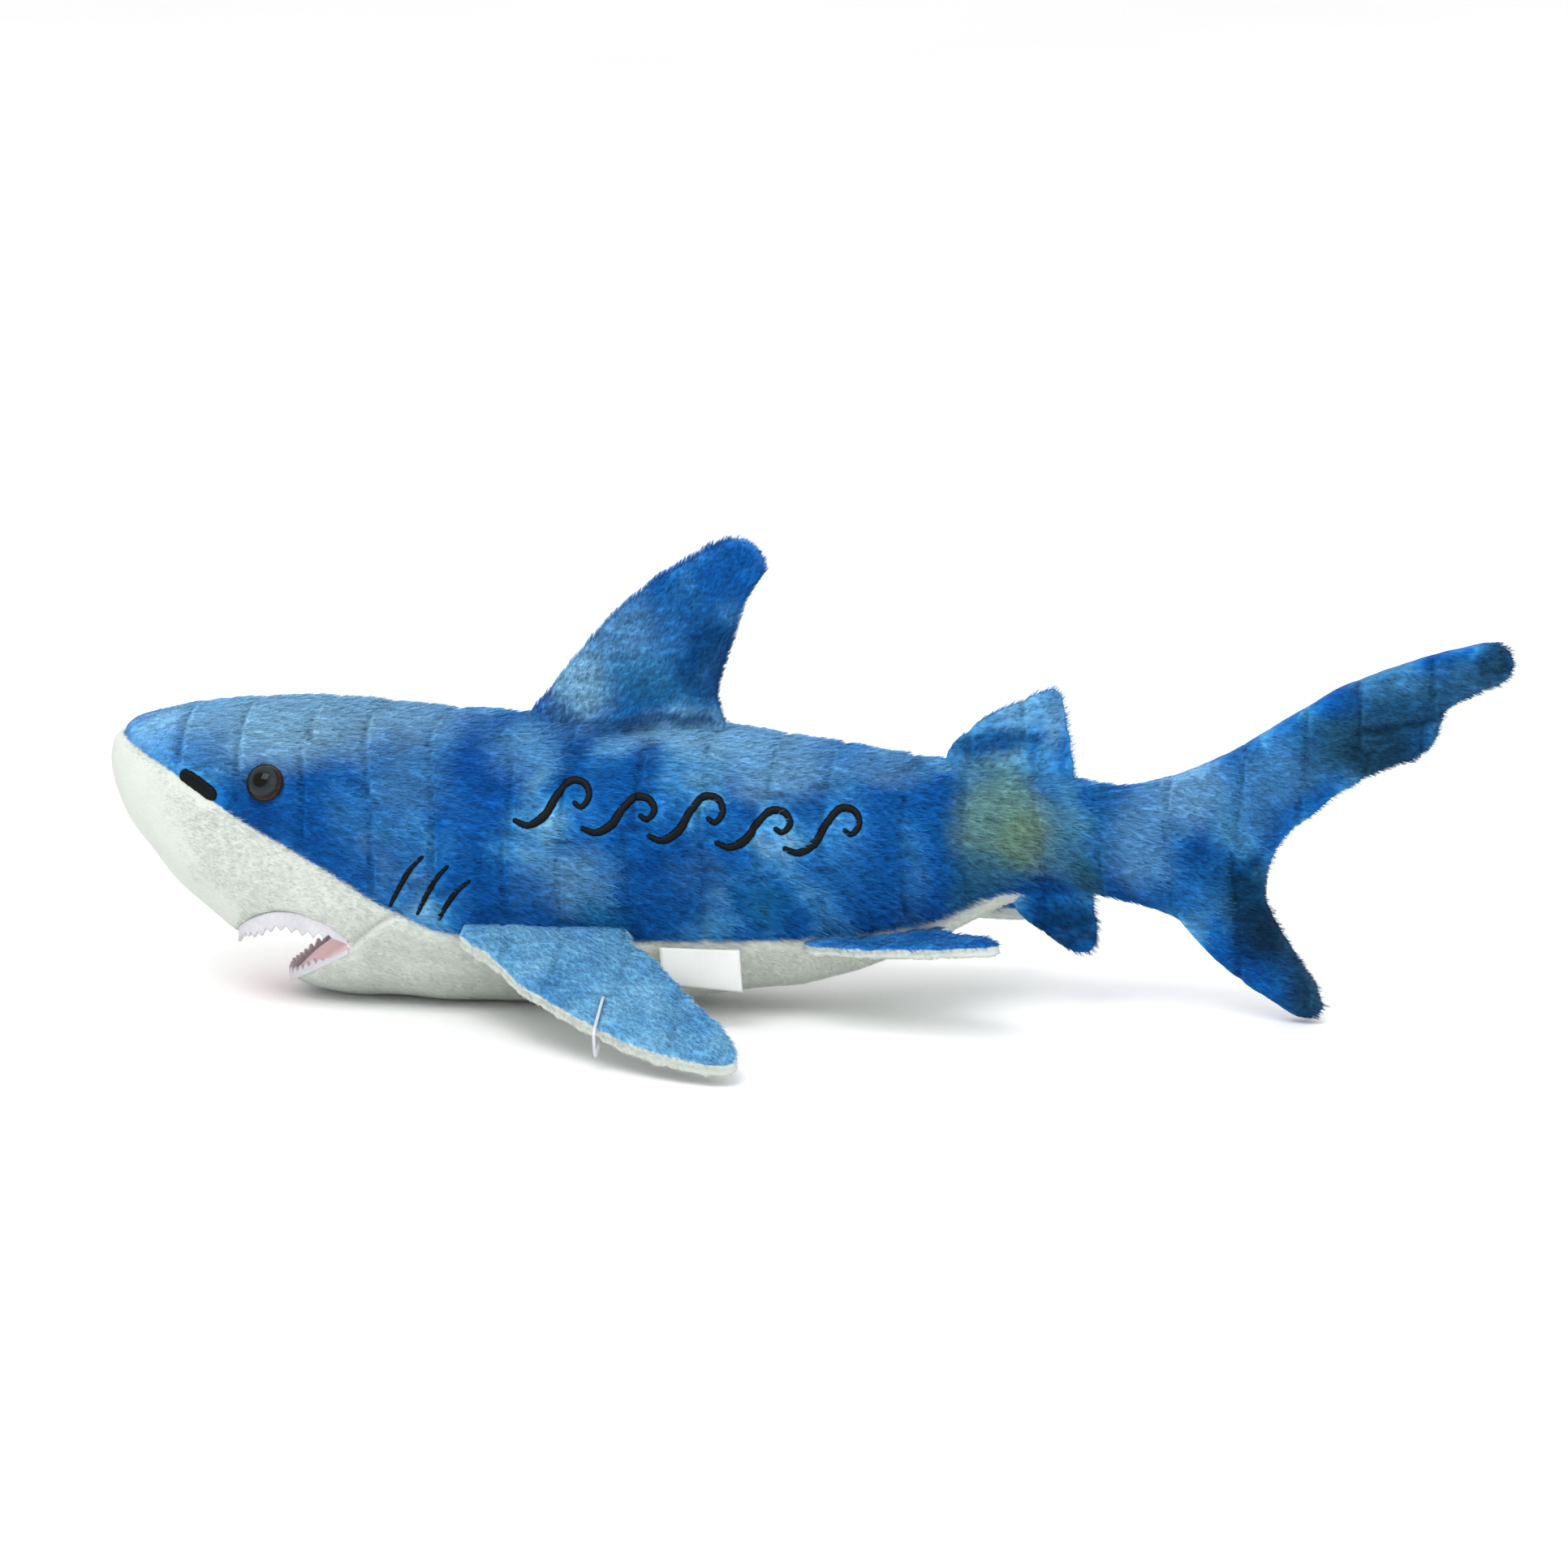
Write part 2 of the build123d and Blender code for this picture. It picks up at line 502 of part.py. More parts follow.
pelvic_run = Vector(
    PELVIC_BACK[0] - PELVIC_FRONT[0],
    PELVIC_FRONT[1] - PELVIC_BACK[1],
    PELVIC_BACK[2] - PELVIC_FRONT[2],
)
pelvic_side = pelvic_run.cross(Vector(0, 0, 1)).normalized()
pelvic_up = pelvic_side.cross(pelvic_run).normalized()


def pelvic_plane(droop_deg):
    """Hinge plane of the left pelvic fin when it hangs down by an angle."""
    hang = math.radians(droop_deg)
    return Plane(
        origin=(PELVIC_FRONT[0], -PELVIC_FRONT[1], PELVIC_FRONT[2]),
        x_dir=pelvic_run.normalized(),
        z_dir=pelvic_up * math.cos(hang) + pelvic_side * math.sin(hang),
    )


pelvic_planes = {word: pelvic_plane(angle) for word, angle in PELVIC_DROOP.items()}
pelvic_edges = [
    Spline(*outward(PELVIC_OUTLINE, 0)),
    Line((PELVIC_LENGTH, 0), (0, 0)),
]
paired_fin("pelvic", pelvic_edges, pelvic_planes, PELVIC_LENGTH, PELVIC_HALF)

# ---- Care label and nylon tag pin ----
label_middle = Pos(LABEL_X, -LABEL_Y, LABEL_TOP - LABEL_DROP / 2)
parts["care_label"] = label_middle * Box(LABEL_WIDTH, LABEL_THICK, LABEL_DROP)

tag_lift = PECTORAL_HALF + TAG_RADIUS + 0.2
tag_route = FilletPolyline(
    (TAG_HOLE, -tag_lift),
    (TAG_HOLE, tag_lift),
    (TAG_EDGE, tag_lift),
    (TAG_EDGE, -tag_lift),
    radius=2.5,
    close=True,
)
tag_start = tag_route @ 0
tag_heading = tag_route % 0
tag_tube = sweep(Plane(origin=tag_start, z_dir=tag_heading) * Circle(TAG_RADIUS), path=tag_route)
tag_plane = Plane(
    origin=pectoral_plane.origin + pectoral_plane.x_dir * (TAG_X - PECTORAL_ROOT[0]),
    x_dir=-pectoral_plane.y_dir,
    z_dir=pectoral_plane.x_dir,
)
parts["tag_pin"] = tag_plane * tag_tube
for kind in ("top_panel", "bottom_panel", "stuffing"):
    parts[f"left_pectoral_{kind}"] -= parts["tag_pin"]

# ---- Write one STEP file for each node ----
os.makedirs("parts", exist_ok=True)
for name, shape in parts.items():
    solids = shape.solids()
    whole = solids[0] if len(solids) == 1 else Compound(children=list(solids))
    export_step(whole, f"parts/{name}.step")
print(len(parts), "nodes")
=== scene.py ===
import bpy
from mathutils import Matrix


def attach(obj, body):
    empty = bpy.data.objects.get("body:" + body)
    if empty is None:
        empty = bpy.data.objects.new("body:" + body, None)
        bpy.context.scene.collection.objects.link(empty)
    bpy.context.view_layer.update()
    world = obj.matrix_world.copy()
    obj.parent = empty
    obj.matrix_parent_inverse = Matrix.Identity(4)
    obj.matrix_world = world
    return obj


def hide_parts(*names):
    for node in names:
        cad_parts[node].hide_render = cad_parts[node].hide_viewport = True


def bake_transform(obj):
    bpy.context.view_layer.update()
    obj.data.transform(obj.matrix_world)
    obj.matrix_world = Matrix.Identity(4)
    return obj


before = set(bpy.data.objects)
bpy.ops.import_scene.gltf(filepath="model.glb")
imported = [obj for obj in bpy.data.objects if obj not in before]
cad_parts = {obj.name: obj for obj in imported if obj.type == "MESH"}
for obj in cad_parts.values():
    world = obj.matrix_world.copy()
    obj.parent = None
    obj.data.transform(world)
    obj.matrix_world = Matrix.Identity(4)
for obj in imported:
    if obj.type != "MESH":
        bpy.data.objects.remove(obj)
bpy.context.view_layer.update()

import math

import bmesh
import bpy
import numpy as np
from mathutils import Vector
from mathutils.bvhtree import BVHTree
from mathutils.kdtree import KDTree

# A plush shark, built in millimetres in the part's own frame: nose at -X, left side at -Y, and scaled to
# metres when a mesh is made. The skins are closed meshes that are swelled as cloth, then given a pile of
# short hair. Every skin keeps its rest position and its pressed marks in three UV maps, so the colours stay
# put when it bends.

MM = 0.001
SIDES = ((-1, "left"), (1, "right"))
rng = np.random.default_rng(12)

# ---- Shape of the body: x, top, bottom, half width ----
SECTIONS = np.array([
    (-221.3, 74.0, 74.0, 0.0),
    (-219.6, 81.6, 66.2, 9.0),
    (-216.0, 85.2, 58.5, 15.5),
    (-210.5, 88.0, 49.8, 22.0),
    (-200.0, 91.0, 37.0, 28.7),
    (-185.0, 93.6, 24.0, 33.8),
    (-168.0, 94.8, 6.0, 37.2),
    (-152.0, 95.0, 0.5, 39.4),
    (-125.0, 92.8, -0.2, 40.6),
    (-90.0, 91.4, -0.2, 41.0),
    (-55.0, 90.8, 0.6, 39.8),
    (-22.0, 89.2, 5.2, 36.8),
    (10.0, 84.4, 11.2, 31.8),
    (40.0, 81.0, 22.4, 24.8),
    (62.0, 78.6, 34.2, 19.4),
    (80.0, 76.2, 38.0, 16.2),
    (100.0, 74.6, 36.2, 14.4),
    (113.0, 77.6, 31.2, 12.6),
    (126.0, 80.0, 28.0, 9.4),
    (136.0, 74.0, 34.0, 6.0),
    (142.0, 60.0, 44.0, 2.0),
])
FULLNESS = 2.12  # power of the section curve: 2 is an ellipse
NOSE = SECTIONS[0, 0]
REACH = np.sqrt(SECTIONS[:, 0] - NOSE)  # sections are interpolated over the root of the distance behind it

SEAM = np.array([
    (-232.0, 86.0),
    (-219.0, 82.5),
    (-196.0, 73.8),
    (-175.0, 61.6),
    (-149.0, 48.0),
    (-128.0, 35.3),
    (-113.0, 28.5),
    (-90.0, 26.3),
    (-46.0, 26.3),
    (5.0, 27.0),
    (43.0, 30.6),
    (66.0, 37.5),
    (76.0, 30.0),
    (90.0, 5.0),
    (240.0, -90.0),
])

JAW_HINGE = (-139.0, 22.0)
UPPER_LIP = [JAW_HINGE, (-147.0, 28.5), (-158.0, 31.5), (-168.0, 30.0), (-176.0, 25.0), (-184.0, 16.0)]
LOWER_LIP = [(-163.0, 7.5), (-165.5, 2.0)]
JAW_PLAN = (26.5, 39.0)

CAUDAL = [
    [(108.0, 72.0), (115.0, 78.0), (122.0, 81.4), (130.5, 86.4), (139.9, 92.4), (160.5, 105.4),
     (181.2, 114.6), (201.8, 121.5), (212.1, 123.0)],
    [(212.1, 123.0), (219.0, 121.0), (221.0, 114.5), (218.5, 109.5), (212.1, 106.4)],
    [(212.1, 106.4), (203.5, 101.5), (200.3, 99.0), (197.5, 91.0), (194.4, 86.6), (181.2, 80.7),
     (160.5, 66.5), (149.5, 56.0), (146.4, 49.0)],
    [(146.4, 49.0), (145.4, 40.5), (150.2, 30.0), (156.0, 20.5), (162.0, 9.5), (163.4, 4.5)],
    [(163.4, 4.5), (161.5, 1.4), (156.5, 0.8), (150.0, 2.6)],
    [(150.0, 2.6), (140.0, 9.0), (129.6, 17.0), (119.0, 27.0), (112.0, 34.0)],
]
CAUDAL_HALF = 5.6

DORSAL = [
    [(-91.0, 82.0), (-89.4, 91.0), (-84.6, 96.2), (-79.4, 103.4), (-74.0, 110.5), (-56.0, 129.5),
     (-46.0, 137.6), (-35.5, 144.0)],
    [(-35.5, 144.0), (-27.0, 148.0), (-19.0, 147.6), (-14.2, 142.6), (-14.0, 138.0)],
    [(-14.0, 138.0), (-19.5, 128.0), (-23.0, 117.0), (-26.4, 106.0), (-28.2, 97.0), (-26.6, 91.0),
     (-25.5, 86.0)],
]
DORSAL_HALF = 5.6

SECOND_DORSAL = [
    [(41.0, 78.0), (42.5, 83.4), (49.0, 90.2), (57.0, 95.8), (66.0, 100.2), (73.5, 103.6), (77.0, 104.6)],
    [(77.0, 104.6), (79.6, 101.6), (80.8, 95.0), (82.2, 88.0), (83.4, 80.0), (83.4, 67.0)],
    [(83.4, 67.0), (41.0, 69.0), (41.0, 78.0)],
]
ANAL = [
    [(63.0, 38.0), (64.5, 32.0), (69.5, 27.6), (75.4, 23.4), (81.0, 20.0), (85.2, 18.4), (89.0, 19.0)],
    [(89.0, 19.0), (91.6, 22.4), (92.0, 27.5), (90.6, 33.0), (90.0, 46.0)],
    [(90.0, 46.0), (63.0, 45.0), (63.0, 38.0)],
]
FLAT_HALF = 1.7

# Paired fins: outline in the fin's own plane, x and distance out from its hinge line
PECTORAL = [
    [(-104.0, -9.0), (-104.6, 0.0), (-94.8, 9.3), (-82.2, 25.7), (-64.8, 40.7), (-47.6, 54.4), (-29.0, 64.0),
     (-17.4, 68.0)],
    [(-17.4, 68.0), (-10.0, 67.8), (-6.6, 64.0), (-7.2, 59.0)],
    [(-7.2, 59.0), (-12.6, 48.0), (-21.4, 36.2), (-34.4, 17.6), (-43.4, 5.8), (-48.6, 0.0), (-50.6, -9.0)],
]
PECTORAL_HINGE, PECTORAL_DROOP, PECTORAL_HALF = (43.1, 27.2), 19.0, 3.5

PELVIC_FRONT, PELVIC_BACK, PELVIC_HALF = (4.0, 33.0, 25.5), (46.0, 19.0, 28.0), 2.6
PELVIC_DROOP = {-1: -4.5, 1: 14.0}  # by side
PELVIC = [
    [(-1.0, -9.0), (0.0, 0.0), (7.0, 8.0), (16.0, 16.5), (28.0, 24.5), (40.0, 30.6), (49.0, 33.2)],
    [(49.0, 33.2), (54.4, 32.6), (55.8, 28.0)],
    [(55.8, 28.0), (53.4, 19.0), (50.0, 11.0), (45.0, 0.0), (44.0, -9.0)],
]

GROOVE_PITCH, GROOVE_WIDTH, GROOVE_DEPTH, GROOVE_ROW = 20.5, 1.1, 0.75, 26.0
SCALE_ROW, SCALE_PITCH = 6.4, 8.6  # scales pressed into the dorsal fin
CREASES = [  # sewn or folded lines: points in x and z, half width, depth
    ([(-139.5, 23.0), (-136.0, 26.0), (-131.0, 30.2), (-124.0, 33.8)], 1.0, 1.1),
    ([(171.0, 93.0), (182.0, 95.2), (192.0, 97.2), (203.0, 100.4)], 1.6, 1.5),
]
# Dents in the skin: depth and half width
SEAM_DENT, RIDGE_DENT, EYE_DENT = (1.3, 1.5), (0.6, 1.2), (1.6, 7.0)
LUMPS = ((0.55, 42, 1), (0.22, 17, 2))  # lumps of the filling: height, size and random seed
PILE_ROOM, PILE_ROOM_BACK, PILE_ROOM_WHITE = 1.2, 1.5, 0.5  # how far the skin sinks to make room for pile
SNOUT_TIP_OUT = 2.0
CHEEK_OUT, CHEEK_X, CHEEK_REACH = 2.4, -194, 15  # swelling of the white cheek under the snout
LEAST_Z = 0.7  # the skin stays this far above the floor, for its pile

EYE_AT, EYE_FACING = (-167.0, 32.6, 73.5), (-0.16, 0.89, 0.43)


# ---- Curves ----
def hermite(xs, ys, x):
    """A smooth curve through points, read at x."""
    slope = np.gradient(ys, xs)
    i = np.clip(np.searchsorted(xs, x) - 1, 0, len(xs) - 2)
    h = xs[i + 1] - xs[i]
    t = np.clip((x - xs[i]) / h, 0, 1)
    rise = (1 + 2 * t) * (1 - t) ** 2 * ys[i] + t * t * (3 - 2 * t) * ys[i + 1]
    return rise + (t * (1 - t) ** 2 * slope[i] - t * t * (1 - t) * slope[i + 1]) * h


def smoothstep(low, high, value):
    t = np.clip((value - low) / (high - low), 0, 1)
    return t * t * (3 - 2 * t)


def through(points, step=1.5):
    """Points along a smooth open curve through the given ones."""
    points = np.array(points, float)
    gaps = np.linalg.norm(np.diff(points, axis=0), axis=1)
    run = np.concatenate([[0], np.cumsum(gaps)])
    at = np.linspace(0, run[-1], max(3, int(run[-1] / step)))
    return np.stack([hermite(run, points[:, k], at) for k in range(points.shape[1])], axis=1)


def outline(runs, step=1.5):
    """A closed outline from smooth runs that meet at corners."""
    return np.concatenate([through(run, step)[:-1] for run in runs] + [np.array(runs[-1][-1:], float)])


# ---- Meshes ----
def add_object(name, data):
    obj = bpy.data.objects.new(name, data)
    bpy.context.scene.collection.objects.link(obj)
    return obj


def make_mesh(name, verts, faces):
    """A mesh object from points in millimetres."""
    mesh = bpy.data.meshes.new(name)
    mesh.from_pydata([tuple(p) for p in np.asarray(verts, float) * MM], [], [tuple(f) for f in faces])
    mesh.update()
    return add_object(name, mesh)


def drop(obj):
    mesh = obj.data
    bpy.data.objects.remove(obj)
    bpy.data.meshes.remove(mesh)


def read_vectors(items, name):
    flat = np.empty(len(items) * 3)
    items.foreach_get(name, flat)
    return flat.reshape(-1, 3)


def points_of(mesh):
    return read_vectors(mesh.vertices, "co") / MM


def set_points(mesh, points):
    mesh.vertices.foreach_set("co", (points * MM).ravel())
    mesh.update()


def normals_of(mesh):
    return read_vectors(mesh.vertex_normals, "vector")


def loops_of(mesh):
    loops = np.empty(len(mesh.loops), int)
    mesh.loops.foreach_get("vertex_index", loops)
    return loops


def faces_of(mesh):
    return loops_of(mesh).reshape(-1, 4)


def smooth(obj):
    obj.data.polygons.foreach_set("use_smooth", np.ones(len(obj.data.polygons), bool))


def grid_faces(rows, ring, first=0, closed=False):
    """Quads between rows of points. ring is the points in a row, and a closed row meets its own start."""
    last = ring if closed else ring - 1
    return [
        (first + a * ring + k, first + a * ring + (k + 1) % ring,
         first + (a + 1) * ring + (k + 1) % ring, first + (a + 1) * ring + k)
        for a in range(rows - 1)
        for k in range(last)
    ]


def near_tree(points):
    """Finds the nearest of some points."""
    tree = KDTree(len(points))
    for k, point in enumerate(points):
        tree.insert(point, k)
    tree.balance()
    return tree


def within(points, low, high):
    """Indices of the points inside a box."""
    return np.nonzero(((points > low) & (points < high)).all(axis=1))[0]


def apply_modifiers(obj):
    """Replaces the object's mesh with what its modifiers make of it."""
    bpy.context.view_layer.update()
    old = obj.data
    graph = bpy.context.evaluated_depsgraph_get()
    new = bpy.data.meshes.new_from_object(obj.evaluated_get(graph))
    obj.modifiers.clear()
    obj.data = new
    bpy.data.meshes.remove(old)


def sections_at(at):
    """Top, bottom and half width of the body, where at is the root of the distance behind the nose."""
    return [hermite(REACH, SECTIONS[:, k], at) for k in (1, 2, 3)]


def sections_by_x(x):
    return sections_at(np.sqrt(np.clip(x - NOSE, 0.01, None)))


def body_tube(rings=170, ring=96):
    """The closed shape of head, body and root of the tail."""
    at = np.linspace(0, REACH[-1], rings)[1:]
    xs = at**2 + NOSE
    top, bottom, half = sections_at(at)
    turn = np.linspace(0, 2 * math.pi, ring, endpoint=False)
    c, s = np.cos(turn), np.sin(turn)
    power = 2 / FULLNESS
    side = np.sign(c) * np.abs(c) ** power
    rise = np.sign(s) * np.abs(s) ** power
    verts = [(NOSE, 0, SECTIONS[0, 1])]
    for x, t, b, h in zip(xs, top, bottom, half):
        verts += [(x, h * side[k], (t + b) / 2 + (t - b) / 2 * rise[k]) for k in range(ring)]
    verts.append((xs[-1] + 1, 0, (top[-1] + bottom[-1]) / 2))
    faces = [(0, 1 + (k + 1) % ring, 1 + k) for k in range(ring)]
    faces += grid_faces(len(xs), ring, 1, True)
    end, a = len(verts) - 1, 1 + (len(xs) - 1) * ring
    return verts, faces + [(end, a + k, a + (k + 1) % ring) for k in range(ring)]


def slab(edge, half, lift=None):
    """A flat plate: its outline in X and Z, its thickness along Y, or placed by a function of its points."""
    n = len(edge)
    verts = [(x, -half, z) for x, z in edge] + [(x, half, z) for x, z in edge]
    faces = [tuple(range(n))[::-1], tuple(range(n, 2 * n))]
    faces += [(k, (k + 1) % n, n + (k + 1) % n, n + k) for k in range(n)]
    if lift:
        verts = [lift(*v) for v in verts]
    return verts, faces


def solid(name, *shapes):
    """One object from several closed shapes, with its faces turned outwards."""
    bm = bmesh.new()
    for verts, faces in shapes:
        made = [bm.verts.new(Vector(v) * MM) for v in verts]
        for f in faces:
            bm.faces.new([made[i] for i in f])
    bmesh.ops.recalc_face_normals(bm, faces=bm.faces)
    mesh = bpy.data.meshes.new(name)
    bm.to_mesh(mesh)
    bm.free()
    return add_object(name, mesh)


def carve(obj, *cutters):
    for cutter in cutters:
        cut = obj.modifiers.new("cut", "BOOLEAN")
        cut.operation, cut.object, cut.solver = "DIFFERENCE", cutter, "EXACT"
        apply_modifiers(obj)
        drop(cutter)


def remesh(obj, voxel, smooth=4):
    """Even quads over the whole skin, with rounded edges."""
    mod = obj.modifiers.new("even", "REMESH")
    mod.mode, mod.voxel_size, mod.use_smooth_shade = "VOXEL", voxel * MM, True
    relax = obj.modifiers.new("relax", "SMOOTH")
    relax.factor, relax.iterations = 0.5, smooth
    apply_modifiers(obj)


def puff(obj, pressure, cap, held):
    """Swells a closed skin as stuffed cloth, held along its seams, no point moving further than a cap."""
    mesh = obj.data
    start = points_of(mesh)
    group = obj.vertex_groups.new(name="held")
    group.add([int(i) for i in np.nonzero(held(start))[0]], 1.0, "REPLACE")
    cloth = obj.modifiers.new("swell", "CLOTH")
    s = cloth.settings
    s.quality, s.mass, s.air_damping = 5, 0.15, 2.0
    s.tension_stiffness = s.compression_stiffness = 12.0
    s.shear_stiffness, s.bending_stiffness = 6.0, 0.8
    s.use_pressure, s.uniform_pressure_force = True, pressure
    s.effector_weights.gravity = 0
    s.vertex_group_mass = "held"
    cloth.collision_settings.use_self_collision = False
    cloth.point_cache.frame_start, cloth.point_cache.frame_end = 1, 20
    for step in range(1, 21):
        bpy.context.scene.frame_set(step)
    graph = bpy.context.evaluated_depsgraph_get()
    swelled = points_of(obj.evaluated_get(graph).data)
    obj.modifiers.clear()
    obj.vertex_groups.clear()
    bpy.context.scene.frame_set(1)
    move = swelled - start
    far = np.linalg.norm(move, axis=1, keepdims=True)
    set_points(mesh, start + move * np.minimum(1, cap / np.maximum(far, 1e-6)))


def refine(obj, levels=1):
    mod = obj.modifiers.new("finer", "SUBSURF")
    mod.levels = mod.render_levels = levels
    apply_modifiers(obj)


def split(name, points, faces, normals, keep, uvs):
    """A piece from some faces of a skin, with the whole skin's normals and its rest values in UV maps."""
    some = faces[keep]
    used = np.unique(some)
    index = np.full(len(points), -1)
    index[used] = np.arange(len(used))
    obj = make_mesh(name, points[used], index[some])
    smooth(obj)
    obj.data.normals_split_custom_set_from_vertices([tuple(n) for n in normals[used]])
    rest_uvs(obj.data, uvs[used])
    return obj, used


def rest_uvs(mesh, values):
    """UV maps that hold x, z, y and s for each point, where 1 is 100 mm, and how deep in a groove it is."""
    loops = loops_of(mesh)
    for name, columns, unit in (("RestXZ", (0, 2), 0.01), ("RestYS", (1, 3), 0.01), ("Mark", (4, 4), 1.0)):
        layer = mesh.uv_layers.new(name=name)
        layer.data.foreach_set("uv", (values[loops][:, columns] * unit).ravel())


# ---- Surface detail ----
def seam_distance(points):
    """Distance above the seam between blue and white, negative on the white side."""
    height = hermite(SEAM[:, 0], SEAM[:, 1], points[:, 0])
    ahead = hermite(SEAM[:, 0], SEAM[:, 1], points[:, 0] + 0.5)
    slope = (ahead - height) / 0.5
    return (points[:, 2] - height) / np.sqrt(1 + slope**2)


def body_reach(points):
    """1 on the outside of the body's own section curve, less inside it."""
    top, bottom, half = sections_by_x(points[:, 0])
    up = (points[:, 2] - (top + bottom) / 2) / np.maximum((top - bottom) / 2, 1)
    out = points[:, 1] / np.maximum(half, 1)
    return (np.abs(up) ** FULLNESS + np.abs(out) ** FULLNESS) ** (1 / FULLNESS)


def section_half(x, z):
    """Half width of the body at x and a height."""
    top, bottom, half = sections_by_x(x)
    up = np.clip(np.abs(z - (top + bottom) / 2) / ((top - bottom) / 2), 0, 1)
    return half * (1 - up**FULLNESS) ** (1 / FULLNESS)


def crease_depth(points):
    """How deep each point lies in the creases, in millimetres."""
    deep = np.zeros(len(points))
    flat = points[:, [0, 2]]
    for line, half, depth in CREASES:
        tree = near_tree([(x, 0, z) for x, z in through(line, 0.5)])
        for i in within(flat, np.min(line, axis=0) - 6, np.max(line, axis=0) + 6):
            away = tree.find((flat[i, 0], 0, flat[i, 1]))[2]
            deep[i] = max(deep[i], depth * math.exp(-((away / half) ** 2)))
    return deep


def scale_marks(points):
    """Small rounded scales in rows, pressed into the front of the dorsal fin, 0 to 1."""
    x, z = points[:, 0] + 0.8 * wander(points, 30, 21), points[:, 2] + 0.8 * wander(points, 26, 22)
    row = np.floor(z / SCALE_ROW)
    across = ((x + SCALE_PITCH / 2 * (row % 2)) / SCALE_PITCH) % 1 * 2 - 1
    rim = (z / SCALE_ROW - row) - 0.42 * (1 - across**2)
    line = np.maximum(np.exp(-((rim / 0.13) ** 2)), 0.8 * np.exp(-(((1 - np.abs(across)) / 0.14) ** 2)))
    edge_x, edge_z = np.array(DORSAL[0]).T
    near_front = smoothstep(27, 17, x - hermite(edge_z, edge_x, z))
    off_the_ridge = smoothstep(1.2, 3.0, np.abs(points[:, 1]))
    return 0.6 * line * near_front * smoothstep(136, 124, z) * off_the_ridge


def wander(points, size, seed):
    """Smooth random values between about -1 and 1, from a few waves in random directions."""
    waves = np.random.default_rng(seed)
    total = np.zeros(len(points))
    for _ in range(9):
        direction = waves.normal(size=3)
        direction /= np.linalg.norm(direction)
        turns = points @ direction * 2 * math.pi / size / waves.uniform(0.7, 1.4)
        total += np.sin(turns + waves.uniform(0, 7))
    return total / 3.6


def groove(points, above):
    """How deep in an embossed groove each point is, 0 to 1: columns that lean and end in rounded corners."""
    x, z = points[:, 0], points[:, 2]
    lean = x + 0.05 * (z - 50) + 1.4 * wander(points, 60, 5)
    column = np.floor(lean / GROOVE_PITCH)
    shift = np.sin(column * 12.9898) * 43758.5453 % 1
    rise = (above + 4) / GROOVE_ROW + shift
    row = np.floor(rise)
    jog = (np.sin(row * 78.233 + column * 3.7) * 24634.63 % 1 - 0.5) * 5
    across = np.abs(lean - (column + 0.5) * GROOVE_PITCH - jog)
    upright = np.exp(-((across / GROOVE_WIDTH) ** 2))
    up = (rise - row) * GROOVE_ROW
    fade = smoothstep(0, 3, up) * smoothstep(0, 5, GROOVE_ROW - up)
    sill = np.exp(-(((up - 1.2) / GROOVE_WIDTH) ** 2)) * smoothstep(7.5, 3.5, across)
    return np.clip(upright * (0.25 + 0.75 * fade) + 0.7 * sill, 0, 1)


# ---- Materials ----
def srgb(*values):
    """A colour as nodes take it, from the usual 0 to 255 values."""
    part = [v / 255 for v in values]
    return [v / 12.92 if v <= 0.04045 else ((v + 0.055) / 1.055) ** 2.4 for v in part] + [1.0]


def node(tree, kind, inputs=None, **settings):
    """Adds a node. Each input is a value or another node's output."""
    made = tree.nodes.new("ShaderNode" + kind)
    for key, value in settings.items():
        setattr(made, key, value)
    for key, value in (inputs or {}).items():
        socket = made.inputs[key]
        if isinstance(value, bpy.types.NodeSocket):
            tree.links.new(value, socket)
        else:
            socket.default_value = value
    return made


def math_node(tree, operation, a, b=0.0, c=0.0):
    return node(tree, "Math", {0: a, 1: b, 2: c}, operation=operation).outputs[0]


def mix(tree, factor, a, b, blend="MIX"):
    made = node(tree, "Mix", data_type="RGBA", blend_type=blend)
    for index, value in ((0, factor), (6, a), (7, b)):
        if isinstance(value, bpy.types.NodeSocket):
            tree.links.new(value, made.inputs[index])
        else:
            made.inputs[index].default_value = value
    return made.outputs[2]


def new_material(name):
    material = bpy.data.materials.new(name)
    material.use_nodes = True
    tree = material.node_tree
    tree.nodes.clear()
    out = node(tree, "OutputMaterial")
    shader = node(tree, "BsdfPrincipled")
    tree.links.new(shader.outputs[0], out.inputs[0])
    return material, tree, shader


def rest_values(tree):
    """Rest position and distance above the seam, in tenths of a metre, and how deep in a groove it is."""
    (x, z, _), (y, above, _), (mark, _, _) = (
        node(tree, "SeparateXYZ", {0: node(tree, "UVMap", uv_map=name).outputs[0]}).outputs
        for name in ("RestXZ", "RestYS", "Mark")
    )
    return node(tree, "CombineXYZ", {0: x, 1: y, 2: z}).outputs[0], above, mark


def noise(tree, place, scale, detail=2.0, roughness=0.5, output=0):
    made = node(tree, "TexNoise", {"Vector": place, "Scale": scale, "Detail": detail, "Roughness": roughness})
    return made.outputs[output]


def vector_math(tree, operation, a, b=(0, 0, 0), c=(0, 0, 0)):
    return node(tree, "VectorMath", {0: a, 1: b, 2: c}, operation=operation)


def stretch(tree, place, x, y, z):
    return vector_math(tree, "MULTIPLY", place, (x, y, z)).outputs[0]


def remap(tree, value, low, high, to_low, to_high, kind="LINEAR"):
    inputs = {0: value, 1: low, 2: high, 3: to_low, 4: to_high}
    return node(tree, "MapRange", inputs, interpolation_type=kind).outputs[0]


def shaded(tree, colour, shade):
    """A colour times a grey value."""
    tone = node(tree, "CombineXYZ", {0: shade, 1: shade, 2: shade}).outputs[0]
    return mix(tree, 1.0, colour, tone, "MULTIPLY")


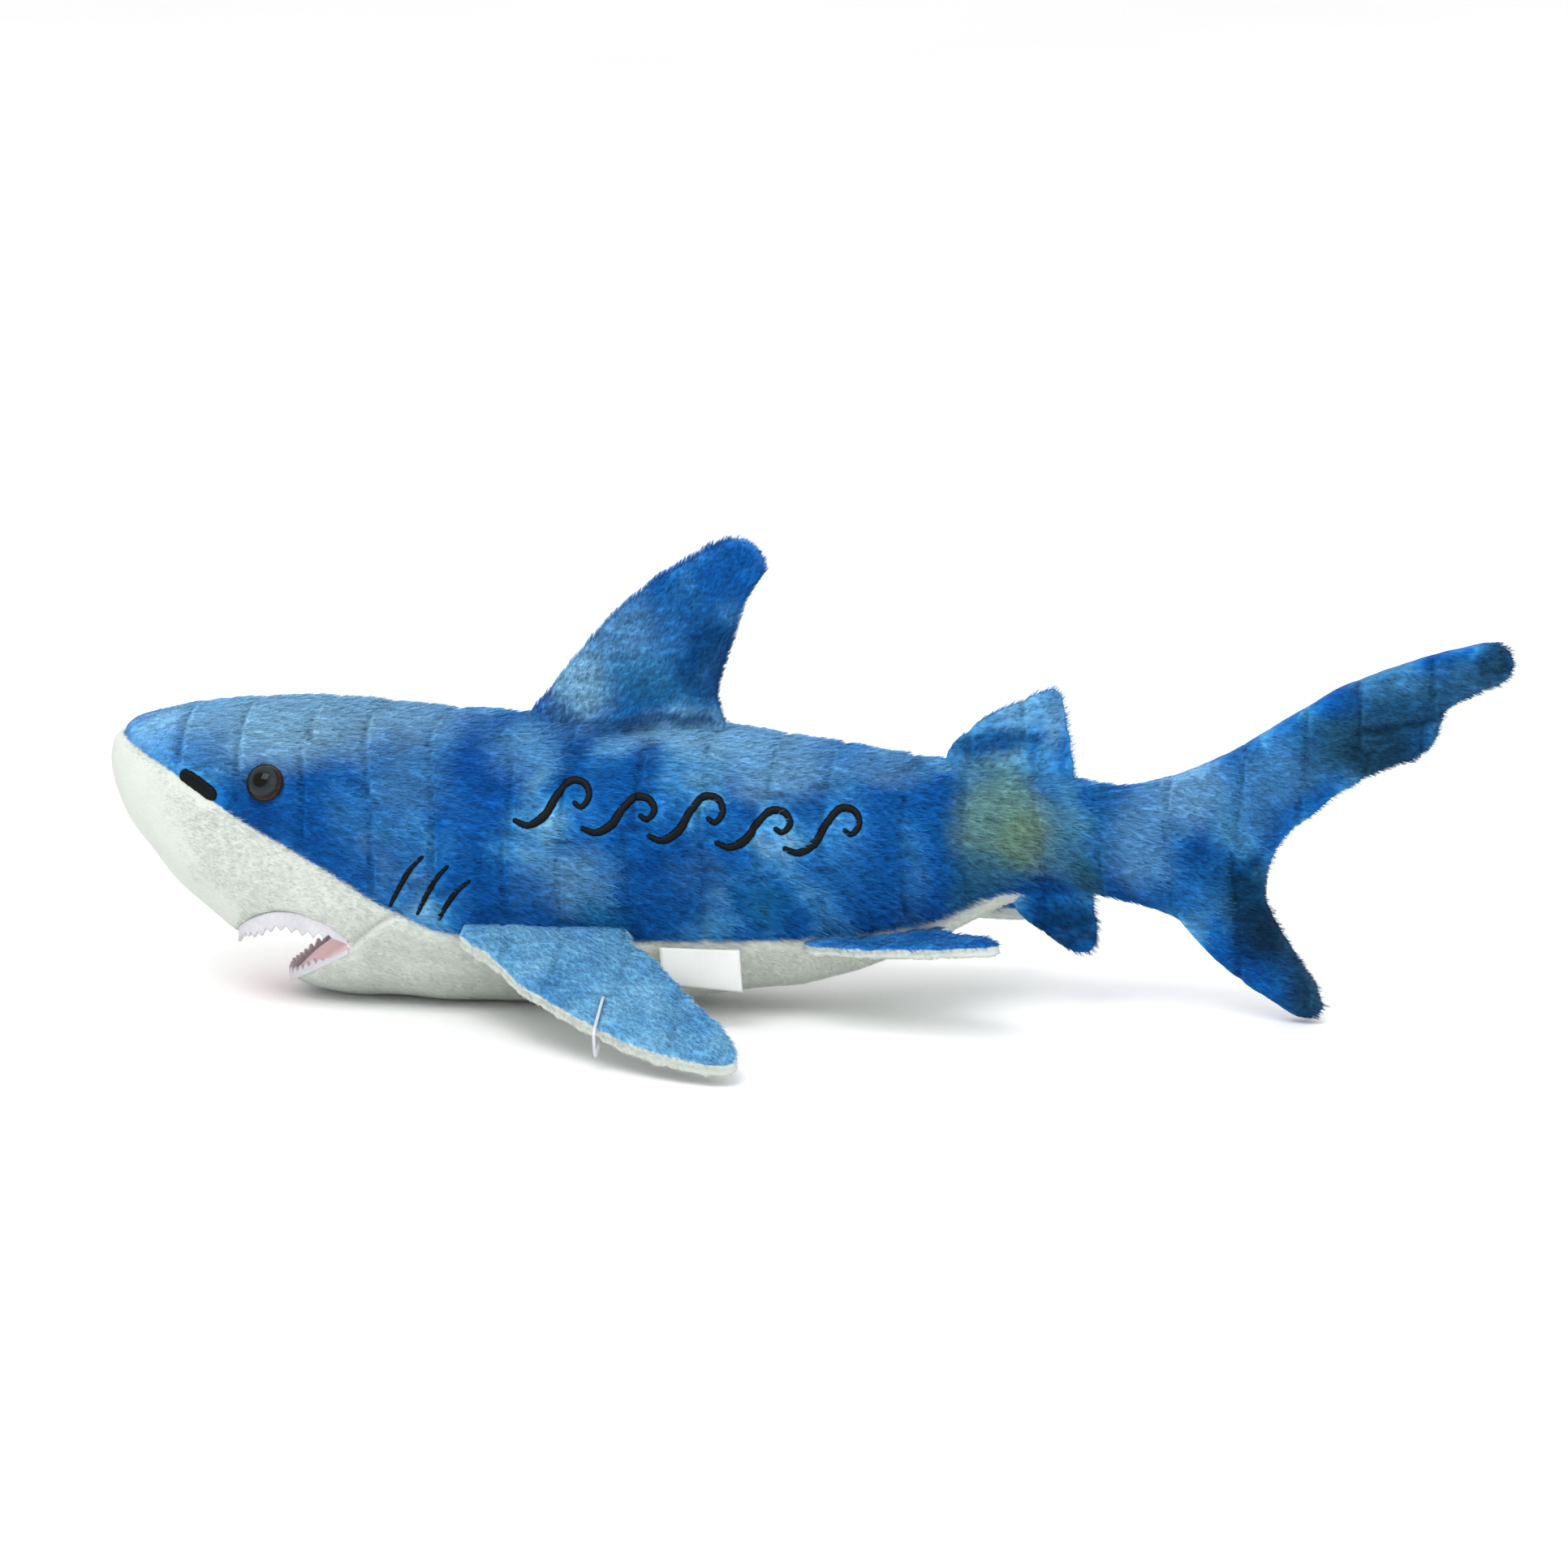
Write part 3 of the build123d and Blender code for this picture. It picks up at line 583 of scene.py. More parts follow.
def dress_shader(tree, shader, colour, inputs, bump=None):
    """Links a colour, sets other inputs and adds a bump, given as its height, strength and distance."""
    tree.links.new(colour, shader.inputs["Base Color"])
    for name, value in inputs.items():
        shader.inputs[name].default_value = value
    if bump:
        made = node(tree, "Bump", dict(zip(("Height", "Strength", "Distance"), bump)))
        tree.links.new(made.outputs[0], shader.inputs["Normal"])


def ramp(tree, factor, stops):
    made = node(tree, "ValToRGB", {0: factor})
    elements = made.color_ramp.elements
    while len(elements) < len(stops):
        elements.new(0.5)
    for element, (at, colour) in zip(elements, stops):
        element.position, element.color = at, colour
    return made.outputs[0]


DEEP, ROYAL, MID, SKY, PALE = (8, 72, 138), (13, 88, 160), (30, 108, 176), (68, 142, 194), (122, 173, 203)
BODY_STOPS = [(0.32, DEEP), (0.43, ROYAL), (0.52, MID), (0.62, SKY), (0.75, PALE)]
FIN_STOPS = [(0.3, (72, 136, 186)), (0.5, (100, 160, 198)), (0.7, (124, 178, 208))]
PELVIC_STOPS = [(0.3, (12, 84, 150)), (0.5, (26, 104, 172)), (0.7, (60, 134, 192))]

# Patches of colour on body, tail and upright fins, from the tie-dyeing, and one painted shadow: x, z, reach
# along x, reach along z, colour, strength
DYE_AND_PAINTED_SHADOW = [
    (-186, 92, 44, 17, (114, 162, 197), 0.85),
    (-146, 91, 46, 12, (126, 170, 195), 0.75),
    (-196, 80, 14, 8, (44, 116, 180), 0.5),
    (-150, 60, 26, 20, (10, 82, 156), 0.65),
    (-127, 48, 18, 12, (8, 74, 148), 0.6),
    (-122, 74, 14, 12, (84, 142, 184), 0.5),
    (-102, 76, 16, 14, (14, 86, 166), 0.6),
    (-72, 48, 17, 12, (100, 156, 192), 0.7),
    (-60, 38, 9, 8, (28, 112, 146), 0.5),
    (-88, 84, 14, 8, (94, 148, 188), 0.5),
    (-87, 40, 12, 12, (9, 78, 150), 0.7),
    (-34, 48, 18, 15, (6, 74, 148), 0.7),
    (-34, 88, 30, 7, (124, 174, 204), 0.75),
    (-12, 82, 24, 11, (112, 164, 199), 0.8),
    (-12, 42, 9, 9, (20, 104, 146), 0.45),
    (12, 60, 12, 24, (50, 126, 190), 0.4),
    (30, 58, 15, 26, (14, 92, 166), 0.6),
    (24, 80, 16, 6, (106, 154, 188), 0.5),
    (34, 36, 12, 10, (10, 80, 158), 0.5),
    (47, 60, 6, 28, (24, 96, 150), 0.6),
    (60, 66, 15, 20, (104, 146, 138), 0.85),
    (69, 60, 10, 16, (108, 136, 108), 0.7),
    (58, 48, 11, 10, (50, 104, 128), 0.7),
    (50, 38, 10, 8, (44, 98, 122), 0.5),
    (80, 58, 7, 20, (74, 124, 140), 0.6),
    (86, 46, 7, 12, (40, 84, 96), 0.8),
    (92, 62, 5, 20, (36, 106, 160), 0.5),
    (104, 60, 12, 18, (92, 148, 192), 0.8),
    (120, 74, 15, 12, (110, 162, 198), 0.75),
    (122, 42, 12, 14, (34, 112, 178), 0.5),
    (125, 50, 8, 10, (14, 84, 148), 0.6),
    (136, 66, 12, 12, (70, 128, 172), 0.6),
    (138, 42, 12, 14, (11, 52, 80), 0.9),
    (146, 28, 14, 14, (15, 40, 58), 0.9),
    (156, 12, 13, 14, (24, 55, 82), 0.9),
    (148, 80, 16, 12, (70, 128, 172), 0.7),
    (174, 88, 22, 16, (19, 53, 74), 0.92),
    (168, 96, 14, 7, (30, 76, 106), 0.7),
    (188, 104, 22, 12, (30, 76, 110), 0.88),
    (182, 112, 16, 6, (62, 122, 166), 0.65),
    (206, 110, 14, 10, (34, 80, 116), 0.8),
    (215, 116, 9, 9, (24, 60, 88), 0.85),
    (199, 93, 7, 7, (46, 98, 108), 0.75),
    (-58, 118, 24, 14, (88, 144, 187), 0.8),
    (-74, 102, 15, 13, (120, 170, 198), 0.9),
    (-50, 106, 16, 10, (46, 114, 160), 0.85),
    (-34, 122, 17, 15, (20, 94, 160), 0.75),
    (-23, 138, 15, 14, (12, 86, 160), 0.85),
    (-31, 108, 9, 18, (4, 60, 114), 0.88),
    (-46, 100, 15, 6, (30, 94, 142), 0.65),
    # Painted shadow: a dark line along the seam at the base of the dorsal fin.
    (-46, 91, 28, 2.6, (8, 62, 116), 0.8),
    (62, 98, 18, 12, (92, 148, 188), 0.9),
    (60, 85, 18, 5, (16, 76, 132), 0.9),
    (78, 94, 5, 12, (96, 148, 184), 0.7),
    (80, 26, 18, 9, (3, 46, 90), 0.9),
]
WHITE = (204, 210, 203)


def dye_and_painted_shade(tree, stops, patches, streaks):
    """The blotched blue of the back from tie-dyeing and the white of the underside, as a colour, with painted
    shade in grooves, creases and pressed scales.
    """
    place, above, mark = rest_values(tree)
    drift = vector_math(tree, "SUBTRACT", noise(tree, place, 3.2, 5.0, 0.6, 1), (0.5, 0.5, 0.5))
    warped = vector_math(tree, "MULTIPLY_ADD", drift.outputs[0], (0.22, 0.22, 0.22), place).outputs[0]
    blotch = noise(tree, stretch(tree, warped, 1.0, 0.8, 0.62), 5.4, 3.0, 0.55)
    colour = ramp(tree, blotch, [(at, srgb(*c)) for at, c in stops])
    flat = stretch(tree, warped, 1.0, 0.0, 1.0)
    for x, z, wide, high, patch_colour, strength in patches:
        away = vector_math(tree, "SUBTRACT", flat, (x / 100, 0, z / 100)).outputs[0]
        length = vector_math(tree, "LENGTH", stretch(tree, away, 100 / wide, 0, 100 / high)).outputs["Value"]
        near = remap(tree, length, 0.35, 1.25, strength, 0.0, "SMOOTHSTEP")
        colour = mix(tree, near, colour, srgb(*patch_colour))
    streak = noise(tree, stretch(tree, place, 8.0, 34.0, 34.0), 2.2, 3.0, 0.6)
    shade = remap(tree, streak, 0.3, 0.7, *streaks)
    # Painted shade: the colour darkens where a point lies deep in a groove, crease or pressed scale.
    pressed = math_node(tree, "MULTIPLY_ADD", mark, -0.45, 1.0)
    colour = shaded(tree, colour, math_node(tree, "MULTIPLY", shade, pressed))
    jitter = math_node(tree, "MULTIPLY", math_node(tree, "SUBTRACT", noise(tree, place, 60.0), 0.5), 0.012)
    blue = remap(tree, math_node(tree, "ADD", above, jitter), -0.003, 0.003, 0.0, 1.0)
    dull = noise(tree, place, 9.0, 3.0)
    cloth = ramp(tree, dull, [(0.3, srgb(*[v - 4 for v in WHITE])), (0.7, srgb(*WHITE))])
    # Painted shade in the grooves and creases of the white, weaker than on the blue.
    painted_white_groove_shade = math_node(tree, "MULTIPLY_ADD", mark, -0.14, 1.0)
    return mix(tree, blue, shaded(tree, cloth, painted_white_groove_shade), colour), place, blue


def blue_or_pale(tree, colour, blue, shade, share):
    """Shades the blue in full, and the white by only a share of it."""
    pale = math_node(tree, "MULTIPLY_ADD", math_node(tree, "SUBTRACT", shade, 1.0), share, 1.0)
    return shaded(tree, colour, node(tree, "Mix", {0: blue, 2: pale, 3: shade}, data_type="FLOAT").outputs[0])


def plush(roughness, sheen):
    return {
        "Roughness": roughness, "Specular IOR Level": 0.03, "Sheen Weight": sheen, "Sheen Roughness": 0.5,
    }


def pile_material(name, stops, patches, streaks=(0.85, 1.62)):
    """The strands of the pile: painted shade at the root and painted light at the tip, and each strand a
    little different.
    """
    material, tree, shader = new_material(name)
    colour, place, blue = dye_and_painted_shade(tree, stops, patches, streaks)
    hair = node(tree, "HairInfo").outputs
    # Painted shade and light along each strand: 0.55 at the root, where strands shade each other, up to 1.2
    # at the tip.
    painted_root_shade_tip_light = remap(tree, hair["Intercept"], 0.0, 1.0, 0.55, 1.2)
    own = remap(tree, hair["Random"], 0.0, 1.0, 0.66, 1.34)
    shade = math_node(tree, "MULTIPLY", painted_root_shade_tip_light, own)
    dress_shader(tree, shader, blue_or_pale(tree, colour, blue, shade, 0.14), plush(0.6, 0.05))
    return material


def skin_material(name, stops, patches, streaks=(0.85, 1.62)):
    """The ground that the pile grows from, with a short nap of its own, painted a little darker on the whole
    as painted shade between the strands.
    """
    material, tree, shader = new_material(name)
    colour, place, blue = dye_and_painted_shade(tree, stops, patches, streaks)
    nap = noise(tree, stretch(tree, place, 40.0, 130.0, 130.0), 1.0, 3.0, 0.6)
    # Painted shade and the nap's own tone: 0.72 to 1.05 of the colour, darker on the whole, as the gaps
    # between strands look.
    shade = remap(tree, nap, 0.25, 0.75, 0.72, 1.05)
    both = blue_or_pale(tree, colour, blue, shade, 0.15)
    dress_shader(tree, shader, both, plush(0.9, 0.06), (nap, 0.3, 0.0005))
    return material


def felt_material(name, low, high, scale=900.0):
    """Pressed felt: short fibres in every direction, and slow changes of tone."""
    material, tree, shader = new_material(name)
    place = node(tree, "TexCoord").outputs["Object"]
    fibre = noise(tree, place, scale, 4.0, 0.7)
    cloud = noise(tree, place, 60.0, 2.0)
    both = math_node(tree, "MULTIPLY_ADD", cloud, 0.5, math_node(tree, "MULTIPLY", fibre, 0.5))
    colour = ramp(tree, both, [(0.35, srgb(*low)), (0.65, srgb(*high))])
    dress_shader(tree, shader, colour, {"Roughness": 0.95, "Sheen Weight": 0.3}, (fibre, 0.6, 0.0004))
    return material


BODY_SKIN = skin_material("plush_ground", BODY_STOPS, DYE_AND_PAINTED_SHADOW)
BODY_PILE = pile_material("plush_pile", BODY_STOPS, DYE_AND_PAINTED_SHADOW)
FIN_SKIN = skin_material("pectoral_ground", FIN_STOPS, [], (1.05, 1.3))
FIN_PILE = pile_material("pectoral_pile", FIN_STOPS, [], (1.05, 1.3))
PELVIC_SKIN = skin_material("pelvic_ground", PELVIC_STOPS, [])
PELVIC_PILE = pile_material("pelvic_pile", PELVIC_STOPS, [])
PINK_FELT = felt_material("pink_felt", (240, 208, 211), (250, 226, 228))
TOOTH_FELT = felt_material("tooth_felt", (184, 183, 190), (206, 206, 211))


# ---- Pile ----
def grow(obj, weights, pile, per_mm2, length, along, children=9, lie=0.34):
    """Grows the pile on a skin. weights holds, for each point, how dense, long and tufted the pile is."""
    mesh = obj.data
    comb = np.array(along) / np.linalg.norm(along)
    facing = normals_of(mesh) @ comb
    dense, long, tufted = weights
    long = long * (1 - 0.75 * smoothstep(0.15, 0.85, facing))
    for name, values in (("dense", dense), ("long", long), ("tufted", tufted)):
        group = obj.vertex_groups.new(name=name)
        levels = np.round(np.clip(values, 0, 1) * 20) / 20
        for level in np.unique(levels):
            group.add([int(i) for i in np.nonzero(levels == level)[0]], float(level), "REPLACE")
    area = sum(p.area for p in mesh.polygons) / MM**2
    mesh.materials.append(pile)
    mod = obj.modifiers.new("pile", "PARTICLE_SYSTEM")
    system = mod.particle_system
    system.seed = 3
    system.vertex_group_density = "dense"
    system.vertex_group_length = "long"
    system.vertex_group_clump = "tufted"
    p = system.settings
    p.type, p.use_advanced_hair, p.emit_from, p.distribution = "HAIR", True, "FACE", "RAND"
    p.use_modifier_stack = False
    p.count = int(area * per_mm2 * (1))
    p.hair_step = 3
    p.normal_factor = length * MM * lie / 4
    p.object_align_factor = tuple(length * MM * a * math.sqrt(1 - lie * lie) / 4 for a in along)
    p.factor_random = length * MM * 0.07 / 4
    p.display_step = p.render_step = 3
    p.child_type = "INTERPOLATED"
    p.rendered_child_count = p.child_percent = int(children * (1))
    p.child_length_threshold, p.child_length = 0.0, 1.0
    p.clump_factor, p.clump_shape = 0.5, -0.2
    p.roughness_1, p.roughness_1_size = 0.0002, 0.006
    p.roughness_endpoint, p.roughness_end_shape = 0.0003, 0.6
    p.root_radius, p.tip_radius, p.radius_scale = 0.20, 0.05, 0.001 * 0.55
    p.material = len(mesh.materials)
    obj.show_instancer_for_render = True
    return obj


# ---- The skin of head, torso, jaw and tail ----
def add_shape(obj, shape):
    extra = solid("extra", shape)
    bm = bmesh.new()
    bm.from_mesh(obj.data)
    bm.from_mesh(extra.data)
    bm.to_mesh(obj.data)
    bm.free()
    drop(extra)


def lower_lip_height(x):
    (x0, z0), (x1, z1) = JAW_HINGE, LOWER_LIP[0]
    return z0 + (z0 - z1) / (x0 - x1) * (x - x0)


def under_snout(x, side, y):
    """Places the cutter that rounds the jaw: its floor below the toy, its roof inside the open mouth."""
    return (x, y, -12.0) if side < 0 else (x, y, JAW_HINGE[1] + 0.5 * (x - JAW_HINGE[0]))


def whole_skin():
    skin = solid("skin", body_tube())
    lip = [tuple(p) for p in through(UPPER_LIP, 2)]
    mouth = solid("mouth", slab(lip + [(-191, -12), (-166.5, -12)] + LOWER_LIP[::-1], 60))
    turn = np.radians(np.linspace(-90, 90, 25))
    round_jaw = [(JAW_HINGE[0] - JAW_PLAN[0] * math.cos(t), JAW_PLAN[1] * math.sin(t)) for t in turn]
    edge = [(-192, -60), (JAW_HINGE[0], -60)] + round_jaw + [(JAW_HINGE[0], 60), (-192, 60)]
    chin = solid("chin", slab(edge, 1, under_snout))
    carve(skin, mouth, chin)
    add_shape(skin, slab(outline(CAUDAL), CAUDAL_HALF))
    remesh(skin, 2.4, 5)
    puff(skin, 4.0, 1.8, held_body)
    refine(skin)
    return skin


def in_mouth(points):
    """Where the skin is the inside of the mouth: 1 for the roof, 2 for the floor, 0 elsewhere."""
    x, y, z = points.T
    lip = lower_lip_height(x)
    inside = np.zeros(len(points), int)
    ahead = x < JAW_HINGE[0] + 1.5
    reach = body_reach(points)
    plan = np.sqrt(((x - JAW_HINGE[0]) / JAW_PLAN[0]) ** 2 + (y / JAW_PLAN[1]) ** 2)
    inside[ahead & (z > lip + 3.2) & (z < 34) & (reach < 0.955) & (x > -180)] = 1
    inside[ahead & (np.abs(z - lip) <= 3.2) & (plan < 0.93) & (reach < 0.965)] = 2
    return inside


def held_body(points):
    x, y, z = points.T
    seam = (np.abs(seam_distance(points)) < 1.5) & (x < 70)
    ridge = (np.abs(y) < 1.3) & ((z > 60) | (x > 110))
    near_mouth = (in_mouth(points) > 0) | ((x < -136) & (x > -186) & (z < 36))
    return seam | ridge | near_mouth | (z < 1.2)


def from_eye(points, side):
    return np.linalg.norm(points - np.array([EYE_AT[0], side * EYE_AT[1], EYE_AT[2]]), axis=1)


skin = whole_skin()
points, faces = points_of(skin.data), faces_of(skin.data)
normals = normals_of(skin.data)
above = seam_distance(points)
mouth = in_mouth(points)
off_the_seams = smoothstep(1.0, 5.0, above) * smoothstep(0.6, 4.0, np.abs(points[:, 1]))
groove_mark = groove(points, above) * off_the_seams * (mouth == 0)
creased = crease_depth(points)
dent = GROOVE_DEPTH * groove_mark + creased
dent += SEAM_DENT[0] * np.exp(-((above / SEAM_DENT[1]) ** 2)) * (points[:, 0] < 68)
ridge = np.exp(-((points[:, 1] / RIDGE_DENT[1]) ** 2))
dent += RIDGE_DENT[0] * ridge * smoothstep(60, 75, points[:, 2]) * (points[:, 0] < 110)
dent -= sum(height * wander(points, size, seed) for height, size, seed in LUMPS)
for side in (-1, 1):
    dent += EYE_DENT[0] * np.exp(-((from_eye(points, side) / EYE_DENT[1]) ** 2))
faces_back = smoothstep(-0.3, 0.8, normals[:, 0])
dent += (mouth == 0) * np.where(above > 0, PILE_ROOM + PILE_ROOM_BACK * faces_back, PILE_ROOM_WHITE)
dent -= SNOUT_TIP_OUT * smoothstep(-203, -219, points[:, 0])
cheek = np.exp(-(((points[:, 0] - CHEEK_X) / CHEEK_REACH) ** 2))
dent -= CHEEK_OUT * cheek * smoothstep(-2, -9, above) * smoothstep(0.1, -0.5, normals[:, 2])
points = points - normals * dent[:, None]
points[:, 2] = np.maximum(points[:, 2], LEAST_Z)
set_points(skin.data, points)
normals = normals_of(skin.data)
# Its last column, how deep a point lies in a groove or crease, also darkens the colour there as painted
# shade.
rest = np.column_stack([points, above, np.maximum(groove_mark, np.clip(creased, 0, 1))])
SKIN_TREE = BVHTree.FromPolygons([Vector(p) for p in points], [tuple(int(i) for i in f) for f in faces])


# ---- Satin stitching: raised bands of thread that follow the skin ----
STITCHED = []  # points under thread, where no pile grows, with the half width there


def on_skin(x, z, side):
    """The point of the skin at x and z on one side, and its normal."""
    hit, normal, _, _ = SKIN_TREE.ray_cast(Vector((x, side * 120, z)), Vector((0, -side, 0)))
    return np.array(hit), np.array(normal)


def satin(path, width, side, height, step=0.14, pitch=0.42, lean=0.7):
    """A closed band of slanting threads along a path in x and z. Its width is a list along the path."""
    line = through(path, step)
    widths = np.interp(np.linspace(0, 1, len(line)), np.linspace(0, 1, len(width)), width)
    centre, out = (np.array(a) for a in zip(*[on_skin(x, z, side) for x, z in line]))
    for k in range(3):
        out[:, k] = np.convolve(np.pad(out[:, k], 12, "edge"), np.ones(25) / 25, "valid")
    out /= np.linalg.norm(out, axis=1, keepdims=True)
    ahead = np.gradient(centre, axis=0)
    ahead /= np.linalg.norm(ahead, axis=1, keepdims=True)
    across = np.cross(ahead, out)
    run = np.arange(len(line)) * step
    threads = np.arange(0, run[-1] + pitch, pitch)
    wobble = np.interp(run, threads, rng.normal(0, 0.05, len(threads)))
    to_end = np.clip(np.minimum(run, run[-1] - run) / (widths / 2), 0.02, 1)
    ends = np.sqrt(to_end * (2 - to_end))  # round ends
    rows = []
    for u in np.linspace(-1, 1, 11):
        phase = (run + lean * u * widths / 2) / pitch
        ridge = np.abs(np.sin(phase * math.pi))
        half = widths / 2 * (1 + wobble) * ends * (0.93 + 0.09 * ridge)
        crown = (1 - abs(u) ** 2.6) ** 0.6
        rise = height * ends * crown * (0.86 + 0.16 * ridge) - 0.25
        rows.append(centre + across * (u * half)[:, None] + out * rise[:, None])
    for u in (0.6, -0.6):
        rows.append(centre + across * (u * widths / 2 * ends)[:, None] - out * 0.7)
    STITCHED.append((centre, widths / 2))
    ring = len(rows)
    verts = np.stack(rows, axis=1).reshape(-1, 3)
    quads = grid_faces(len(line), ring, closed=True)
    last = (len(line) - 1) * ring
    caps = [tuple(range(ring))[::-1], tuple(range(last, last + ring))]
    return verts, quads + caps


def stitching(name, bands, node_name):
    obj = solid(name, *bands)
    smooth(obj)
    obj.data.materials.append(BLACK_THREAD)
    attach(obj, "torso")
    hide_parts(node_name)
    return obj


def thread_material():
    material, tree, shader = new_material("black_thread")
    place = node(tree, "TexCoord").outputs["Object"]
    grain = noise(tree, place, 1800.0, 3.0, 0.6)
    colour = ramp(tree, grain, [(0.35, srgb(2, 4, 6)), (0.7, srgb(12, 17, 22))])
    dress_shader(tree, shader, colour, {"Roughness": 0.5, "Specular IOR Level": 0.12})
    return material


BLACK_THREAD = thread_material()
WAVE_START, WAVE_PITCH, WAVE_COUNT, WAVE_SLOPE = (-85.0, 63.5), 21.0, 5, -5.0
WAVE = [
    (-3.0, 1.2), (2.0, 0.0), (6.5, 3.2), (9.6, 9.6), (13.4, 14.0),
    (17.6, 13.4), (19.4, 9.8), (17.4, 6.8), (14.6, 8.2),
]
WAVE_WIDTHS = [1.8, 2.4, 3.1, 2.9, 2.6, 3.0, 2.5, 2.1, 1.7]


def wave(index):
    """One rolling wave: a long climb from the last one's foot, a crest, and a curl under it."""
    lean = math.radians(WAVE_SLOPE)
    size = 1.0 if index % 2 == 0 else 0.84
    path = []
    for along, rise in WAVE:
        along, rise = along + index * WAVE_PITCH, rise * size
        path.append((
            WAVE_START[0] + along * math.cos(lean) - rise * math.sin(lean),
            WAVE_START[1] + along * math.sin(lean) + rise * math.cos(lean),
        ))
    return path


GILLS = [
    [(-115.6, 53.2), (-119.6, 49.0), (-123.0, 43.4), (-126.6, 36.4)],
    [(-107.6, 50.6), (-111.6, 46.0), (-114.6, 41.0), (-118.0, 34.0)],
    [(-100.8, 46.0), (-105.0, 42.4), (-108.2, 38.0), (-111.4, 32.4)],
]
NOSTRIL = [(-195.2, 74.2), (-190.8, 72.4), (-186.4, 70.0), (-182.6, 67.6)]
NOSTRIL_WIDTHS, GILL_WIDTHS = [5.2, 6.0, 6.0, 5.4], [1.2, 1.9, 1.9, 1.2]
for side, word in SIDES:
    stitching(f"{word}_nostril", [satin(NOSTRIL, NOSTRIL_WIDTHS, side, 1.6)], f"{word}_nostril_stitching")
    stitching(f"{word}_gills", [satin(g, GILL_WIDTHS, side, 1.25) for g in GILLS], f"{word}_gill_stitching")
waves = [satin(wave(k), WAVE_WIDTHS, -1, 1.3) for k in range(WAVE_COUNT)]
stitching("wave_border", waves, "wave_stitching")


# ---- Pieces of the skin ----
def bare(points):
    """1 where pile grows, falling to 0 under thread and round the eyes."""
    free = np.ones(len(points))
    for line, half in STITCHED:
        tree = near_tree(line)
        for i in within(points, line.min(axis=0) - 6, line.max(axis=0) + 6):
            for ahead, least in ((0.0, 0.0), (1.2, 0.15), (2.2, 0.35)):
                _, k, away = tree.find(points[i] + (ahead, 0, 0))
                free[i] = min(free[i], max(least, smoothstep(half[k] - 0.4, half[k] + 0.7, away)))
    for side in (-1, 1):
        free = np.minimum(free, smoothstep(5.6, 7.6, from_eye(points, side)))
    return free


def skin_piece(name, keep, nodes, ground, pile=None):
    obj, used = split(name, points, faces, normals, keep, rest)
    obj.data.materials.append(ground)
    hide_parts(*nodes)
    if pile:
        dense = free_skin[used] * (mouth[used] == 0)
        is_blue = above[used] > 0
        long = np.where(is_blue, 1.0, 0.36) * (1 - 0.5 * rest[used, 4]) * (0.3 + 0.7 * free_skin[used])
        long *= 1 - 0.3 * smoothstep(105, 135, points[used, 0])
        grow(obj, (dense, long, np.where(is_blue, 1.0, 0.1)), pile, 0.36, 3.9, (1, 0, -0.12))
    return obj


free_skin = bare(points)
centre = points[faces].mean(axis=1)
jaw_line = JAW_HINGE[1] + 0.5 * np.minimum(centre[:, 0] - JAW_HINGE[0], 0)  # level behind the hinge
is_jaw = (centre[:, 0] < -118) & (centre[:, 2] < jaw_line)
is_tail = centre[:, 0] >= 128
is_upper = is_tail & (centre[:, 2] >= 47)
is_roof = ~is_jaw & ((mouth[faces] > 0).sum(axis=1) >= 3)
is_floor = is_jaw & ((mouth[faces] == 2).sum(axis=1) >= 3)

torso = skin_piece(
    "head_and_torso",
    ~is_jaw & ~is_tail & ~is_roof,
    ["left_side_panel", "right_side_panel", "snout_panel", "belly_panel", "body_stuffing"],
    BODY_SKIN,
    BODY_PILE,
)
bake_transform(torso)
jaw = skin_piece(
    "lower_jaw", is_jaw & ~is_floor, ["jaw_panel", "jaw_stuffing"], BODY_SKIN, BODY_PILE
)
roof = skin_piece("mouth_roof", is_roof, ["mouth_roof_lining"], PINK_FELT)
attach(roof, "torso")
floor_of_mouth = skin_piece("mouth_floor", is_floor, ["jaw_lining"], PINK_FELT)
for piece in (jaw, floor_of_mouth):
    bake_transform(piece)


def lobe(name, keep, nodes):
    piece = skin_piece(name, keep, nodes, BODY_SKIN, BODY_PILE)
    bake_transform(piece)


TAIL_NODES = ["tail_left_panel", "tail_right_panel", "tail_stuffing"]
lobe(
    "upper_lobe",
    is_upper,
    TAIL_NODES + ["upper_lobe_left_panel", "upper_lobe_right_panel", "upper_lobe_stuffing"],
)
lobe(
    "lower_lobe",
    is_tail & ~is_upper,
    ["lower_lobe_left_panel", "lower_lobe_right_panel", "lower_lobe_stuffing"],
)


# ---- Fins ----
def fin_shape(runs, half, frame_at, voxel, cap, lumps, marks=None):
    """A swelled fin: its points, faces, normals, height above its own middle plane, and pressed marks."""
    origin, run, out, up = (np.array(v, float) for v in frame_at)
    edge = outline(runs)
    obj = solid("fin", slab(edge, half, lambda x, s, o: tuple(origin + run * x + out * o + up * s)))
    remesh(obj, voxel * (1), 4)
    puff(obj, 3.5, cap, lambda p: np.abs((p - origin) @ up) < 0.7)
    refine(obj)
    p, f, n = points_of(obj.data), faces_of(obj.data), normals_of(obj.data)
    lift = (p - origin) @ up
    sink = 0.7 * np.exp(-((lift / 0.9) ** 2)) - lumps * wander(p, 24, 4) - 0.4 * lumps * wander(p, 11, 8)
    mark = marks(p) if marks else 0.5 * groove(p @ np.column_stack([run, up, out]), p @ out)
    sink += mark + 0.6
    p = p - n * sink[:, None]
    set_points(obj.data, p)
    n = normals_of(obj.data)
    drop(obj)
    return p, f, n, lift, mark


